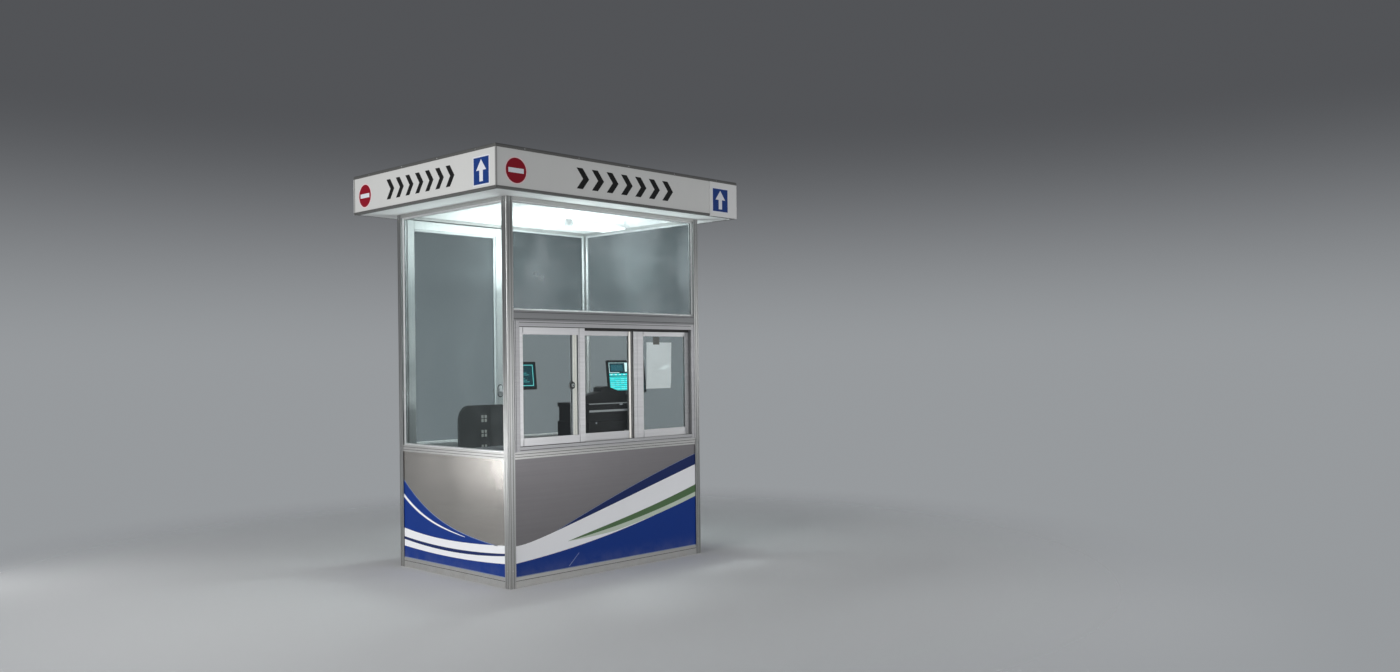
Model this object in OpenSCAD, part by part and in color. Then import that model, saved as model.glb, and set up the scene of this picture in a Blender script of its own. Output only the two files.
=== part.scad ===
// Small aluminium and glass guard booth with a flat overhanging canopy.
// Millimetres, +Z up. The origin is on the ground under the middle of the canopy.
// The long window side faces -Y, the short glazed side faces -X, the door is at the back.
// Inside the modules x runs from the booth's left face and y from its front face.

/* [Booth] */
// Length of the booth along the window side
body_l = 1560; // [1400:10:2200]
// Depth of the booth from the window side to the door side
body_d = 1140; // [1080:10:1800]
// Height from the ground to the ceiling
post_h = 2210; // [2150:10:2600]
// Width of the square corner posts
post_w = 45; // [40:1:60]
// Radius of the corner posts' outer edge
post_r = 7; // [2:1:10]
// Width of a flute in a bar's outer face
flute_w = 3; // [2:0.5:5]
// Depth of a flute in a bar's outer face
flute_d = 1.5; // [1:0.5:3]

/* [Lower walls] */
// Height of the base rails
base_h = 60; // [40:5:90]
// Height of the top of the sill rails
sill_z = 765; // [650:5:850]
// Height of a sill rail
sill_h = 40; // [30:5:60]
// Thickness of the lower panels
panel_t = 30; // [12:1:36]
// How far the rails stand back from the posts' outer faces
rail_inset = 2; // [0:0.5:4]
// How far the lower panels stand back from the posts' outer faces
panel_inset = 6; // [3:0.5:9]
// Thickness of the floor board
floor_t = 30; // [18:1:40]

/* [Upper walls] */
// Height of the underside of the front transom
transom_z = 1510; // [1400:5:1600]
// Height of the front transom
transom_h = 60; // [40:5:80]
// Height of the head rails under the ceiling
head_h = 20; // [15:1:40]
// Thickness of the fixed glass
glass_t = 6; // [4:0.5:10]
// Width of the glazing beads across the glass
bead_w = 10; // [6:1:14]
// Thickness of the glazing beads, square to the glass
bead_t = 8; // [5:0.5:12]
// Hairline joint between bars that meet
hairline = 0.3; // [0.2:0.1:0.5]

/* [Sliding window] */
// Height of the window frame's head
win_head_h = 32; // [26:1:45]
// Height of the window frame's sill
win_sill_h = 28; // [22:1:40]
// Width of the window frame's jambs
win_jamb_w = 34; // [28:1:50]
// How far the window frame stands proud of the posts
win_proud = 4; // [2:0.5:8]
// Width of one of the three tracks
track_w = 22; // [20:1:28]
// Web between two tracks
track_web = 2; // [1.5:0.5:4]
// Lip outside the first track and inside the last one
track_lip = 4; // [3:0.5:6]
// Depth of the tracks
track_d = 12; // [8:1:16]
// Play of a sash in its track, on each side
sash_play = 1; // [0.5:0.5:2]
// Gap between the sash and the bottom of the track, at its top and outer side
sash_gap = 3; // [2:0.5:5]
// Width of the sash stiles
stile_w = 40; // [34:1:60]
// Width of the left sash's meeting stile
meeting_stile_w = 50; // [34:1:70]
// Width of the right sash's broad meeting stile
broad_stile_w = 84; // [60:1:100]
// Height of the sash top rails
sash_top_h = 54; // [40:1:70]
// Height of the sash bottom rails
sash_bottom_h = 60; // [45:1:80]
// How far the left and middle sashes lap
lap_left = 58; // [40:1:70]
// How far the middle and right sashes lap
lap_right = 18; // [10:1:60]
// Thickness of the sash glass
sash_glass_t = 5; // [4:0.5:7]
// Width of the lip that holds the glass in a sash bar
sash_lip_w = 8; // [6:1:12]
// How far that lip stands back from the sash's faces
sash_lip_step = 3; // [1:0.5:4]
// Depth of the glass's groove in a sash bar
sash_groove_d = 12; // [8:1:16]

/* [Door] */
// Width of the door leaf
leaf_w = 730; // [600:10:900]
// Thickness of the door leaf
leaf_t = 40; // [30:1:44]
// Clearance all round the door leaf
door_gap = 5; // [5:0.5:8]
// Width of the door stiles
door_stile_w = 50; // [40:1:70]
// Height of the door's top rail
door_top_h = 57; // [40:1:80]
// Height of the door's bottom rail
door_bottom_h = 80; // [60:5:120]
// Thickness of the door's lower panel
door_panel_t = 16; // [8:1:24]
// Width of the jamb post beside the door
jamb_w = 45; // [40:1:60]
// Length of a hinge
hinge_l = 100; // [80:5:140]
// Radius of the hinge knuckles
knuckle_r = 6; // [5:0.5:8]
// Radius of the hinge pins
pin_r = 2.5; // [2:0.25:3.5]
// Running clearance round the hinge pins
pin_play = 0.3; // [0.2:0.1:0.5]
// Thickness of the hinge leaves
hinge_t = 3; // [2:0.5:4]
// Distance of the first and last hinge from the ends of the door
hinge_end = 160; // [100:10:300]
// Width of the bevel along the door frame's edges
door_edge = 3; // [1:0.5:5]
// Height of the middle of the door lock
lock_z = 1085; // [950:5:1200]

/* [Canopy] */
// Overhang of the canopy over the window side
over_front = 190; // [120:5:400]
// Overhang of the canopy over the left side
over_left = 205; // [120:5:400]
// Overhang of the canopy over the right side
over_right = 175; // [120:5:400]
// Overhang of the canopy over the door side
over_back = 160; // [120:5:400]
// Height of the fascia boards between their two edge trims
fascia_h = 208; // [150:2:300]
// Thickness of the fascia boards
fascia_t = 22; // [12:1:40]
// Height of the trim along the fascia's top
top_trim_h = 18; // [12:1:30]
// Height of the trim along the fascia's bottom
bottom_trim_h = 14; // [10:1:24]
// How far the trims stand proud of the fascia boards
trim_proud = 3; // [1:0.5:6]
// Height of the bevel along the trims' outer edge
trim_bevel = 5; // [2:1:8]
// Thickness of the ceiling board
ceiling_t = 12; // [6:1:20]
// Thickness of the roof board
roof_t = 60; // [30:5:90]

/* [Fittings] */
// Depth of the counter behind the sliding window
counter_d = 450; // [300:10:500]
// Thickness of the counter
counter_t = 25; // [18:1:40]
// Radius of the counter's edge on the room side
counter_r = 10; // [4:1:12]
// Length of the arm of a counter bracket under the counter
bracket_arm = 240; // [150:10:290]
// Height of a counter bracket
bracket_h = 220; // [120:10:300]
// Width of a counter bracket's bars
bracket_w = 20; // [16:1:30]
// Distance of the outer brackets from the ends of the booth
bracket_end = 190; // [120:10:350]
// Length of the ceiling lamp
lamp_l = 520; // [300:10:600]
// Width of the ceiling lamp
lamp_w = 260; // [150:10:300]
// Distance of the lamp's middle from the booth's right face
lamp_from_right = 410; // [400:10:600]
// Distance of the lamp's middle from the booth's front face
lamp_from_front = 640; // [400:10:800]
// Height of the ceiling lamp
lamp_h = 30; // [20:1:60]
// Radius of the small globe lamp
globe_r = 31; // [20:1:45]
// Distance of the globe lamp from the booth's left face
globe_from_left = 848; // [500:4:900]
// Distance of the globe lamp from the booth's front face
globe_from_front = 474; // [300:2:500]
// Width of the larger screen
screen_l = 340; // [300:5:420]
// Height of the larger screen
screen_h = 220; // [180:5:260]
// Width of the smaller screen
small_screen_l = 220; // [200:5:320]
// Height of the smaller screen
small_screen_h = 170; // [150:5:220]
// Distance of the larger screen from the booth's left face
screen_x = 1268; // [1100:2:1300]
// Distance of the larger screen from the booth's front face
screen_y = 420; // [200:5:440]
// Height of the larger screen's lower edge over the counter
screen_lift = 296; // [200:4:320]
// Distance of the smaller screen from the booth's left face
small_screen_x = 366; // [240:2:400]
// Distance of the smaller screen from the booth's front face
small_screen_y = 380; // [200:5:400]
// Height of the smaller screen's lower edge over the counter
small_screen_lift = 340; // [200:5:340]
// Angle by which the screens lean back
screen_tilt = 6; // [0:1:12]
// Distance of the printer from the booth's left face
printer_x = 662; // [500:2:680]
// Width of the printer
printer_l = 470; // [350:10:500]
// Depth of the printer
printer_d = 300; // [220:10:320]
// Height of the printer
printer_h = 255; // [150:5:280]
// Height of the paper feeder over the printer's lid
feeder_h = 100; // [40:5:120]
// Distance of the chair's middle from the booth's left face
chair_x = 350; // [290:5:420]
// Distance of the front of the chair's back from the booth's front face
chair_y = 700; // [660:5:760]
// Width of the chair
chair_w = 424; // [380:2:480]
// Height of the chair's seat
seat_z = 450; // [400:5:500]
// Height of the top of the chair's back
chair_h = 1010; // [850:5:1100]
// Radius of the upper corners of the chair's back
chair_r = 95; // [40:5:140]
// Radius of the curve of the chair's back, seen from above
chair_bow = 620; // [400:20:1200]
// Depth of the chair's seat
seat_d = 400; // [360:10:440]
// Radius of the chair's tubes
tube_r = 11; // [9:1:14]

/* [Hidden] */

$fn = 48;

aluminium = [0.72, 0.73, 0.74];
dark_aluminium = [0.42, 0.43, 0.45];
brushed_steel = [0.62, 0.60, 0.57];
off_white = [0.90, 0.90, 0.88];
clear_glass = [0.75, 0.85, 0.84, 0.45];
black_plastic = [0.08, 0.08, 0.09];

// Corner of the booth, with the canopy centred on the origin
booth_x = over_left - (over_left + body_l + over_right) / 2;
booth_y = over_front - (over_front + body_d + over_back) / 2;

// Heights shared by the walls
glass_mid = post_w / 2;
head_z = post_h - head_h;
panel_top_z = sill_z - sill_h;
transom_top_z = transom_z + transom_h;

// Sliding window
win_l = body_l - 2 * post_w;
win_depth = 2 * track_lip + 3 * track_w + 2 * track_web;
opening_x0 = post_w + win_jamb_w;
opening_x1 = body_l - post_w - win_jamb_w;
sash_t = track_w - 2 * sash_play;
sash_side_in = track_d - sash_gap;
sash_l = (opening_x1 - opening_x0 + 2 * sash_side_in + lap_left + lap_right) / 3;
sash_z0 = sill_z + win_sill_h - track_d;
sash_z1 = transom_z - win_head_h + sash_side_in;
sash_left_x = opening_x0 - sash_side_in;
sash_middle_x = sash_left_x + sash_l - lap_left;
sash_right_x = sash_middle_x + sash_l - lap_right;

// Fixed glazing
side_l = body_d - 2 * post_w;
side_h = head_z - sill_z;
front_h = head_z - transom_top_z;

// Door
leaf_x0 = post_w + door_gap;
leaf_x1 = leaf_x0 + leaf_w;
leaf_y0 = body_d - leaf_t;
leaf_z0 = base_h + door_gap;
leaf_z1 = head_z - door_gap;
jamb_x0 = leaf_x1 + door_gap;
jamb_x1 = jamb_x0 + jamb_w;
back_l = body_l - post_w - jamb_x1;
hinge_x = post_w + door_gap / 2;
hinge_off = knuckle_r + 2.5;
knuckle_l = hinge_l / 3;
knuckle_gap = 0.5;
hinge_zs = [leaf_z0 + hinge_end, (leaf_z0 + leaf_z1) / 2, leaf_z1 - hinge_end];
lock_x = leaf_x1 - door_stile_w / 2;

// Canopy
trim_w = fascia_t + trim_proud;
fascia_z0 = post_h + bottom_trim_h;
fascia_z1 = fascia_z0 + fascia_h;
canopy_z1 = fascia_z1 + top_trim_h;
roof_z0 = post_h + ceiling_t;
canopy_low = [-over_left, -over_front];
canopy_high = [body_l + over_right, body_d + over_back];
fascia_low = canopy_low + [trim_proud, trim_proud];
fascia_high = canopy_high - [trim_proud, trim_proud];

// Counter
counter_y0 = win_depth - win_proud;
counter_z1 = sill_z;

// Moves a shape from the booth's own corner to the shared frame
module in_booth() {
  translate([booth_x, booth_y, 0]) children();
}

// A block given by its lowest and highest corners
module block(low, high) {
  translate(low) cube(high - low);
}

// Bars of a flat section: its two axes become y and z, x and z, or x and y
module along_x(l) { rotate([90, 0, 90]) linear_extrude(l) children(); }
module along_y(l) { translate([0, l, 0]) rotate([90, 0, 0]) linear_extrude(l) children(); }
module along_z(l) { linear_extrude(l) children(); }

// Swaps the two axes of a flat section
module swapped() { rotate(90) mirror([0, 1]) children(); }

// A flat section with rounded corners
module rounded(w, t, r) {
  translate([r, 0]) square([w - 2 * r, t]);
  translate([0, r]) square([w, t - 2 * r]);
  for (a = [r, w - r]) for (b = [r, t - r]) translate([a, b]) circle(r);
}

// A flat section with its corners cut off at 45 degrees
module eased(w, t, cut) {
  polygon([[cut, 0], [w - cut, 0], [w, cut], [w, t - cut],
           [w - cut, t], [cut, t], [0, t - cut], [0, cut]]);
}

// Flutes across the first axis of a flat section, at the given places on its second axis
module flutes(places) {
  for (place = places)
    translate([-1, place - flute_w / 2]) square([flute_d + 1, flute_w]);
}

// Cross-section of a corner post: rounded outer edge, two flutes in each outer face
module post_section() {
  places = [post_w * 0.30, post_w * 0.70];
  difference() {
    square(post_w);
    difference() {
      translate([-1, -1]) square(post_r + 1);
      translate([post_r, post_r]) circle(post_r);
    }
    flutes(places);
    swapped() flutes(places);
  }
}

// A corner post whose outer edge is at the given corner of the booth
module corner_post(right, back) {
  color(aluminium) in_booth()
    translate([right ? body_l : 0, back ? body_d : 0, 0])
      mirror([right ? 1 : 0, 0, 0]) mirror([0, back ? 1 : 0, 0])
        along_z(post_h) post_section();
}

module post_front_left() { corner_post(false, false); }
module post_front_right() { corner_post(true, false); }
module post_back_left() { corner_post(false, true); }
module post_back_right() { corner_post(true, true); }

// Cross-section of a rail, from its outer face inwards, with flutes at the given shares of its height
module rail_section(h, shares) {
  difference() {
    square([post_w - rail_inset, h]);
    flutes([for (share = shares) h * share]);
  }
}

// Four rails between the posts; the one at the back starts at the given place
module rail_ring(z0, z1, back_from, shares) {
  h = z1 - z0;
  translate([post_w, rail_inset, z0]) along_x(win_l) rail_section(h, shares);
  translate([rail_inset, post_w, z0]) along_y(side_l) rail_section(h, shares);
  translate([body_l - rail_inset, post_w, z0])
    mirror([1, 0, 0]) along_y(side_l) rail_section(h, shares);
  translate([back_from, body_d - rail_inset, z0])
    mirror([0, 1, 0]) along_x(body_l - post_w - back_from) rail_section(h, shares);
}

module base_rails() { color(aluminium) in_booth() rail_ring(0, base_h, post_w, [0.66]); }
module sill_rails() {
  color(aluminium) in_booth() rail_ring(panel_top_z, sill_z, jamb_x1, [0.3, 0.7]);
}
module head_rails() { color(aluminium) in_booth() rail_ring(head_z, post_h, post_w, []); }

module front_transom() {
  color(dark_aluminium) in_booth()
    translate([post_w, rail_inset, transom_z]) along_x(win_l) rail_section(transom_h, [0.2, 0.8]);
}

module floor_board() {
  color("dimgray") in_booth()
    block([post_w, post_w, 0], [body_l - post_w, body_d - post_w, floor_t]);
}

module panel_front() {
  color(brushed_steel) in_booth()
    block([post_w, panel_inset, base_h], [body_l - post_w, panel_inset + panel_t, panel_top_z]);
}

module panel_left() {
  color(brushed_steel) in_booth()
    block([panel_inset, post_w, base_h], [panel_inset + panel_t, body_d - post_w, panel_top_z]);
}

module panel_right() {
  color(brushed_steel) in_booth()
    block([body_l - panel_inset - panel_t, post_w, base_h],
          [body_l - panel_inset, body_d - post_w, panel_top_z]);
}

module panel_back() {
  color(brushed_steel) in_booth()
    block([jamb_x1, body_d - panel_inset - panel_t, base_h],
          [body_l - post_w, body_d - panel_inset, panel_top_z]);
}

// Cross-section of a window frame bar, its depth by its thickness: three tracks in the inner side,
// flutes in the outer face
module track_section(thick, places) {
  difference() {
    square([win_depth, thick]);
    for (i = [0:2])
      translate([track_lip + i * (track_w + track_web), thick - track_d])
        square([track_w, track_d + 1]);
    flutes(places);
  }
}

// The bars of the window frame: two jambs, and a head and a sill between them
module window_frame() {
  jamb_l = transom_z - sill_z;
  bar_l = win_l - 2 * win_jamb_w - 2 * hairline;
  edge = 9;
  color(aluminium) in_booth() {
    for (side = [0, 1])
      translate([side == 0 ? post_w : body_l - post_w, -win_proud, sill_z])
        mirror([side, 0, 0]) along_z(jamb_l) swapped() track_section(win_jamb_w, [edge]);
    translate([opening_x0 + hairline, -win_proud, sill_z])
      along_x(bar_l) track_section(win_sill_h, [edge]);
    translate([opening_x0 + hairline, -win_proud, transom_z])
      mirror([0, 0, 1]) along_x(bar_l) track_section(win_head_h, [edge]);
  }
}

// Outer face of a sash, by its track, counted from the outside
function track_y(i) = track_lip - win_proud + i * (track_w + track_web) + sash_play;

// Cross-section of a sash bar, from its outer edge to the glass: a lip on each side of the glass's groove
module sash_section(w, grooves = []) {
  glass_play = 0.5;
  slot = sash_glass_t + 2 * glass_play;
  difference() {
    square([w, sash_t]);
    swapped() flutes(grooves);
    for (low = [-1, sash_t - sash_lip_step])
      translate([w - sash_lip_w, low]) square([sash_lip_w + 1, sash_lip_step + 1]);
    translate([w - sash_groove_d, (sash_t - slot) / 2]) square([sash_groove_d + 1, slot]);
  }
}

// Two stiles of the sash's full height, of the given widths, and two rails between them
module sash(x, track, left, right) {
  h = sash_z1 - sash_z0;
  rail_l = sash_l - left - right - 2 * hairline;
  color(aluminium) in_booth() translate([x, track_y(track), sash_z0]) {
    along_z(h) sash_section(left, left > stile_w ? [left / 3] : []);
    translate([sash_l, 0, 0]) mirror([1, 0, 0]) along_z(h) sash_section(right);
    translate([left + hairline, 0, 0]) along_x(rail_l) swapped() sash_section(sash_bottom_h);
    translate([left + hairline, 0, h])
      mirror([0, 0, 1]) along_x(rail_l) swapped() sash_section(sash_top_h);
  }
}

module sash_left() { sash(sash_left_x, 0, stile_w, meeting_stile_w); }
module sash_middle() { sash(sash_middle_x, 2, stile_w, stile_w); }
module sash_right() { sash(sash_right_x, 1, broad_stile_w, stile_w); }

// The glass of a sash, seated in the grooves of its bars
module sash_pane(x, track, left, right) {
  mid = track_y(track) + sash_t / 2;
  seat = sash_groove_d - hairline;
  block([x + left - seat, mid - sash_glass_t / 2, sash_z0 + sash_bottom_h - seat],
        [x + sash_l - right + seat, mid + sash_glass_t / 2, sash_z1 - sash_top_h + seat]);
}

module sash_glass() {
  color(clear_glass) in_booth() {
    sash_pane(sash_left_x, 0, stile_w, meeting_stile_w);
    sash_pane(sash_middle_x, 2, stile_w, stile_w);
    sash_pane(sash_right_x, 1, broad_stile_w, stile_w);
  }
}

// Round latch over the edge of the middle sash's left stile, between the two sashes
module window_latch() {
  latch_r = 22;
  plate_t = 5;
  knob_t = 13;
  beyond = 5;
  color("silver") in_booth()
    translate([sash_middle_x - beyond, track_y(2), (sash_z0 + sash_z1) / 2])
      rotate([90, 0, 0]) rotate_extrude()
        polygon([[0, 0], [latch_r, 0], [latch_r, plate_t], [latch_r / 2, plate_t],
                 [latch_r / 2, knob_t], [0, knob_t]]);
}

// Fixed glass of the given opening, standing in a plane of constant y
module pane(l, h) {
  block([0, -glass_t / 2, 0], [l, glass_t / 2, h]);
}

// Cross-section of a snap-in bead, from the frame inwards and from the glass outwards
module bead_section() {
  polygon([[0, 0], [bead_w, 0], [bead_w, bead_t * 0.25], [bead_w * 0.5, bead_t], [0, bead_t]]);
}

// Beads round both sides of that glass
module beads(l, h) {
  for (face = [0, 1]) mirror([0, face, 0]) translate([0, glass_t / 2, 0]) {
    for (side = [0, 1])
      translate([side * l, 0, 0]) mirror([side, 0, 0]) along_z(h) bead_section();
    for (end = [0, 1])
      translate([bead_w + hairline, 0, end * h]) mirror([0, 0, end])
        along_x(l - 2 * (bead_w + hairline)) swapped() bead_section();
  }
}

// Each places its children in one glazed opening of the booth
module at_front() translate([post_w, glass_mid, transom_top_z]) children();
module at_left() translate([glass_mid, post_w, sill_z]) rotate([0, 0, 90]) children();
module at_right() translate([body_l - glass_mid, post_w, sill_z]) rotate([0, 0, 90]) children();
module at_back() translate([jamb_x1, body_d - glass_mid, sill_z]) children();

module glass_front() { color(clear_glass) in_booth() at_front() pane(win_l, front_h); }
module glass_left() { color(clear_glass) in_booth() at_left() pane(side_l, side_h); }
module glass_right() { color(clear_glass) in_booth() at_right() pane(side_l, side_h); }
module glass_back() { color(clear_glass) in_booth() at_back() pane(back_l, side_h); }

module glazing_beads() {
  color(aluminium) in_booth() {
    at_front() beads(win_l, front_h);
    at_left() beads(side_l, side_h);
    at_right() beads(side_l, side_h);
    at_back() beads(back_l, side_h);
  }
}

module door_jamb() {
  color(aluminium) in_booth()
    translate([jamb_x0, body_d - rail_inset, base_h]) mirror([0, 1, 0])
      along_z(head_z - base_h) difference() {
        square([jamb_w, post_w - rail_inset]);
        swapped() flutes([jamb_w * 0.30, jamb_w * 0.70]);
      }
}

// Two stiles, with a top, a middle and a bottom rail between them
module door_frame() {
  rail_l = leaf_w - 2 * door_stile_w - 2 * hairline;
  rails = [[leaf_z0, door_bottom_h], [panel_top_z, sill_h], [leaf_z1 - door_top_h, door_top_h]];
  color(aluminium) in_booth() {
    for (x = [leaf_x0, leaf_x1 - door_stile_w])
      translate([x, leaf_y0, leaf_z0])
        along_z(leaf_z1 - leaf_z0) eased(door_stile_w, leaf_t, door_edge);
    for (rail = rails)
      translate([leaf_x0 + door_stile_w + hairline, leaf_y0, rail[0]])
        along_x(rail_l) eased(leaf_t, rail[1], door_edge);
  }
}

// Places its children in the door's glazed opening
module at_door() {
  translate([leaf_x0 + door_stile_w, body_d - leaf_t / 2, sill_z]) children();
}

door_glass_l = leaf_w - 2 * door_stile_w;
door_glass_h = leaf_z1 - door_top_h - sill_z;

module door_glass() { color(clear_glass) in_booth() at_door() pane(door_glass_l, door_glass_h); }
module door_beads() { color(aluminium) in_booth() at_door() beads(door_glass_l, door_glass_h); }

module door_panel() {
  color(brushed_steel) in_booth()
    block([leaf_x0 + door_stile_w, body_d - leaf_t / 2 - door_panel_t / 2, leaf_z0 + door_bottom_h],
          [leaf_x1 - door_stile_w, body_d - leaf_t / 2 + door_panel_t / 2, panel_top_z]);
}

// Oval plate with a round knob, one on each face of the lock stile
module door_lock() {
  plate_w = 34;
  plate_l = 76;
  plate_t = 6;
  color("silver") in_booth()
    for (side = [0, 1])
      translate([lock_x, side == 1 ? body_d : leaf_y0, lock_z])
        rotate([side == 1 ? -90 : 90, 0, 0]) {
          linear_extrude(plate_t) {
            square([plate_w, plate_l - plate_w], center = true);
            for (end = [-1, 1]) translate([0, end * (plate_l - plate_w) / 2]) circle(plate_w / 2);
          }
          rotate_extrude()
            polygon([[0, 0], [8, 0], [8, 16], [14, 16], [14, 34], [0, 34]]);
        }
}

// Leaf of a hinge, from the pin's axis to one side, with arms at the given heights
module hinge_leaf(side, arms) {
  leaf_from = knuckle_r + 2;
  leaf_to = 36;
  half = hinge_l / 2;
  at = [side * (leaf_from + leaf_to) / 2, -hinge_off + hinge_t / 2, 0];
  translate(at) cube([leaf_to - leaf_from, hinge_t, hinge_l], center = true);
  for (arm = arms) {
    low = -half + arm * knuckle_l + knuckle_gap / 2;
    long = knuckle_l - knuckle_gap;
    translate([side < 0 ? -leaf_from - 1 : 0, -hinge_off, low])
      cube([leaf_from + 1, hinge_off, long]);
    translate([0, 0, low]) cylinder(h = long, r = knuckle_r);
  }
}

module at_hinges() {
  in_booth() for (z = hinge_zs) translate([hinge_x, body_d + hinge_off, z]) children();
}

module hinges_post_side() {
  color("silver") at_hinges() {
    hinge_leaf(-1, [0, 2]);
    cylinder(h = hinge_l, r = pin_r, center = true);
  }
}

module hinges_door_side() {
  color("silver") at_hinges() difference() {
    hinge_leaf(1, [1]);
    cylinder(h = hinge_l, r = pin_r + pin_play, center = true);
  }
}

module ceiling_board() {
  color("white") in_booth()
    block([canopy_low.x + trim_w, canopy_low.y + trim_w, post_h],
          [canopy_high.x - trim_w, canopy_high.y - trim_w, roof_z0]);
}

module fascia_front() {
  color(off_white) in_booth()
    block([fascia_low.x, fascia_low.y, fascia_z0],
          [fascia_high.x, fascia_low.y + fascia_t, fascia_z1]);
}

module fascia_back() {
  color(off_white) in_booth()
    block([fascia_low.x, fascia_high.y - fascia_t, fascia_z0],
          [fascia_high.x, fascia_high.y, fascia_z1]);
}

module fascia_left() {
  color(off_white) in_booth()
    block([fascia_low.x, fascia_low.y + fascia_t, fascia_z0],
          [fascia_low.x + fascia_t, fascia_high.y - fascia_t, fascia_z1]);
}

module fascia_right() {
  color(off_white) in_booth()
    block([fascia_high.x - fascia_t, fascia_low.y + fascia_t, fascia_z0],
          [fascia_high.x, fascia_high.y - fascia_t, fascia_z1]);
}

// Cross-section of a trim bar, from its outer face inwards, with a bevel along its lower outer edge
module trim_section(h) {
  polygon([[trim_bevel / 2, 0], [trim_w, 0], [trim_w, h], [0, h], [0, trim_bevel]]);
}

// Four trim bars round the canopy, from the given height up, or down where flip is 1
module trim_ring(z, h, flip) {
  long = canopy_high.x - canopy_low.x;
  short = canopy_high.y - canopy_low.y - 2 * (trim_w + hairline);
  translate([0, 0, z]) mirror([0, 0, flip]) {
    for (back = [0, 1])
      translate([canopy_low.x, back == 1 ? canopy_high.y : canopy_low.y, 0])
        mirror([0, back, 0]) along_x(long) trim_section(h);
    for (right = [0, 1])
      translate([right == 1 ? canopy_high.x : canopy_low.x, canopy_low.y + trim_w + hairline, 0])
        mirror([right, 0, 0]) along_y(short) trim_section(h);
  }
}

module fascia_trims() {
  color(dark_aluminium) in_booth() {
    trim_ring(post_h, bottom_trim_h, 0);
    trim_ring(canopy_z1, top_trim_h, 1);
  }
}

// The roof lies behind the fascia boards and falls towards the door side
module roof_board() {
  deep = canopy_high.y - canopy_low.y - 2 * trim_w;
  fall = roof_t * 0.3;
  color("gainsboro") in_booth()
    translate([canopy_low.x + trim_w, canopy_low.y + trim_w, roof_z0])
      along_x(canopy_high.x - canopy_low.x - 2 * trim_w)
        polygon([[0, 0], [deep, 0], [deep, roof_t - fall], [0, roof_t]]);
}

// Flat lamp under the ceiling: a tray with a smaller light cover below it
module ceiling_lamp() {
  tray_h = lamp_h * 0.55;
  rim = 14;
  corner = 12;
  color("white") in_booth()
    translate([body_l - lamp_from_right - lamp_l / 2, lamp_from_front - lamp_w / 2, post_h]) {
      translate([0, 0, -tray_h]) along_z(tray_h) rounded(lamp_l, lamp_w, corner);
      translate([rim, rim, -lamp_h])
        along_z(lamp_h) rounded(lamp_l - 2 * rim, lamp_w - 2 * rim, corner);
    }
}

// Small lamp: a disc under the ceiling and a globe, both of twelve sides
module globe_lamp() {
  disc_h = 14;
  globe_mid = disc_h + globe_r * 0.8;
  arc = [for (a = [-90:15:54]) [globe_r * cos(a), globe_r * sin(a) - globe_mid]];
  color("lightgray") in_booth() translate([globe_from_left, globe_from_front, post_h])
    rotate_extrude($fn = 12)
      polygon(concat(arc, [[globe_r * 0.85, -disc_h], [globe_r, 0], [0, 0]]));
}

// A board whose edge on the room side is rounded
module counter() {
  color("slategray") in_booth()
    translate([post_w, counter_y0, counter_z1 - counter_t]) along_x(win_l) {
      square([counter_d - counter_r, counter_t]);
      translate([0, counter_r]) square([counter_d, counter_t - 2 * counter_r]);
      for (z = [counter_r, counter_t - counter_r])
        translate([counter_d - counter_r, z]) circle(counter_r);
    }
}

// Brackets under the counter: an arm, a leg against the front panel and a brace between the two
module counter_brackets() {
  wall_y = panel_inset + panel_t;
  arm_z1 = counter_z1 - counter_t;
  arm_z0 = arm_z1 - bracket_w;
  arm_y1 = counter_y0 + bracket_arm;
  leg_z0 = arm_z1 - bracket_h;
  leg_y1 = wall_y + bracket_w;
  brace_w = bracket_w * 0.9;
  brace_y = arm_y1 - bracket_w;
  color("gray") in_booth()
    for (x = [bracket_end, body_l / 2, body_l - bracket_end]) translate([x - bracket_w / 2, 0, 0]) {
      block([0, post_w, arm_z0], [bracket_w, arm_y1, arm_z1]);
      block([0, wall_y, leg_z0], [bracket_w, leg_y1, min(panel_top_z, arm_z0) - hairline]);
      along_x(bracket_w)
        polygon([[leg_y1 + hairline, leg_z0 + brace_w], [brace_y, arm_z0 - hairline],
                 [brace_y - brace_w, arm_z0 - hairline], [leg_y1 + hairline, leg_z0 + 2 * brace_w]]);
    }
}

// A flat screen on a foot: its width, its height, and its lower edge's height over the counter.
// It leans back about the top of its neck, half way up.
module screen(l, h, lift) {
  plate_t = 10;
  body_t = 18;
  bezel = 12;
  chin = 16;
  back_in = l * 0.08;
  foot_l = l * 0.55;
  foot_d = l * 0.4;
  foot_t = 8;
  foot_r = foot_d * 0.2;
  neck_w = l * 0.12;
  neck_t = 14;
  neck_z1 = lift + h / 2;
  translate([0, 0, neck_z1]) rotate([-screen_tilt, 0, 0]) {
    translate([-l / 2, -plate_t - body_t, -h / 2]) difference() {
      along_y(plate_t) rounded(l, h, 8);
      translate([bezel, -1, chin]) cube([l - 2 * bezel, 3, h - bezel - chin]);
    }
    translate([-l / 2 + back_in, -body_t, -h / 2 + back_in])
      along_y(body_t) eased(l - 2 * back_in, h - 2 * back_in, 10);
  }
  translate([-neck_w / 2, hairline, foot_t + hairline])
    along_z(neck_z1 - foot_t - hairline) eased(neck_w, neck_t, 4);
  translate([-foot_l / 2, -foot_d / 2, 0]) along_z(foot_t) rounded(foot_l, foot_d, foot_r);
}

module screens() {
  color(black_plastic) in_booth() {
    translate([small_screen_x, small_screen_y, counter_z1])
      screen(small_screen_l, small_screen_h, small_screen_lift);
    translate([screen_x, screen_y, counter_z1]) screen(screen_l, screen_h, screen_lift);
  }
}

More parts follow.
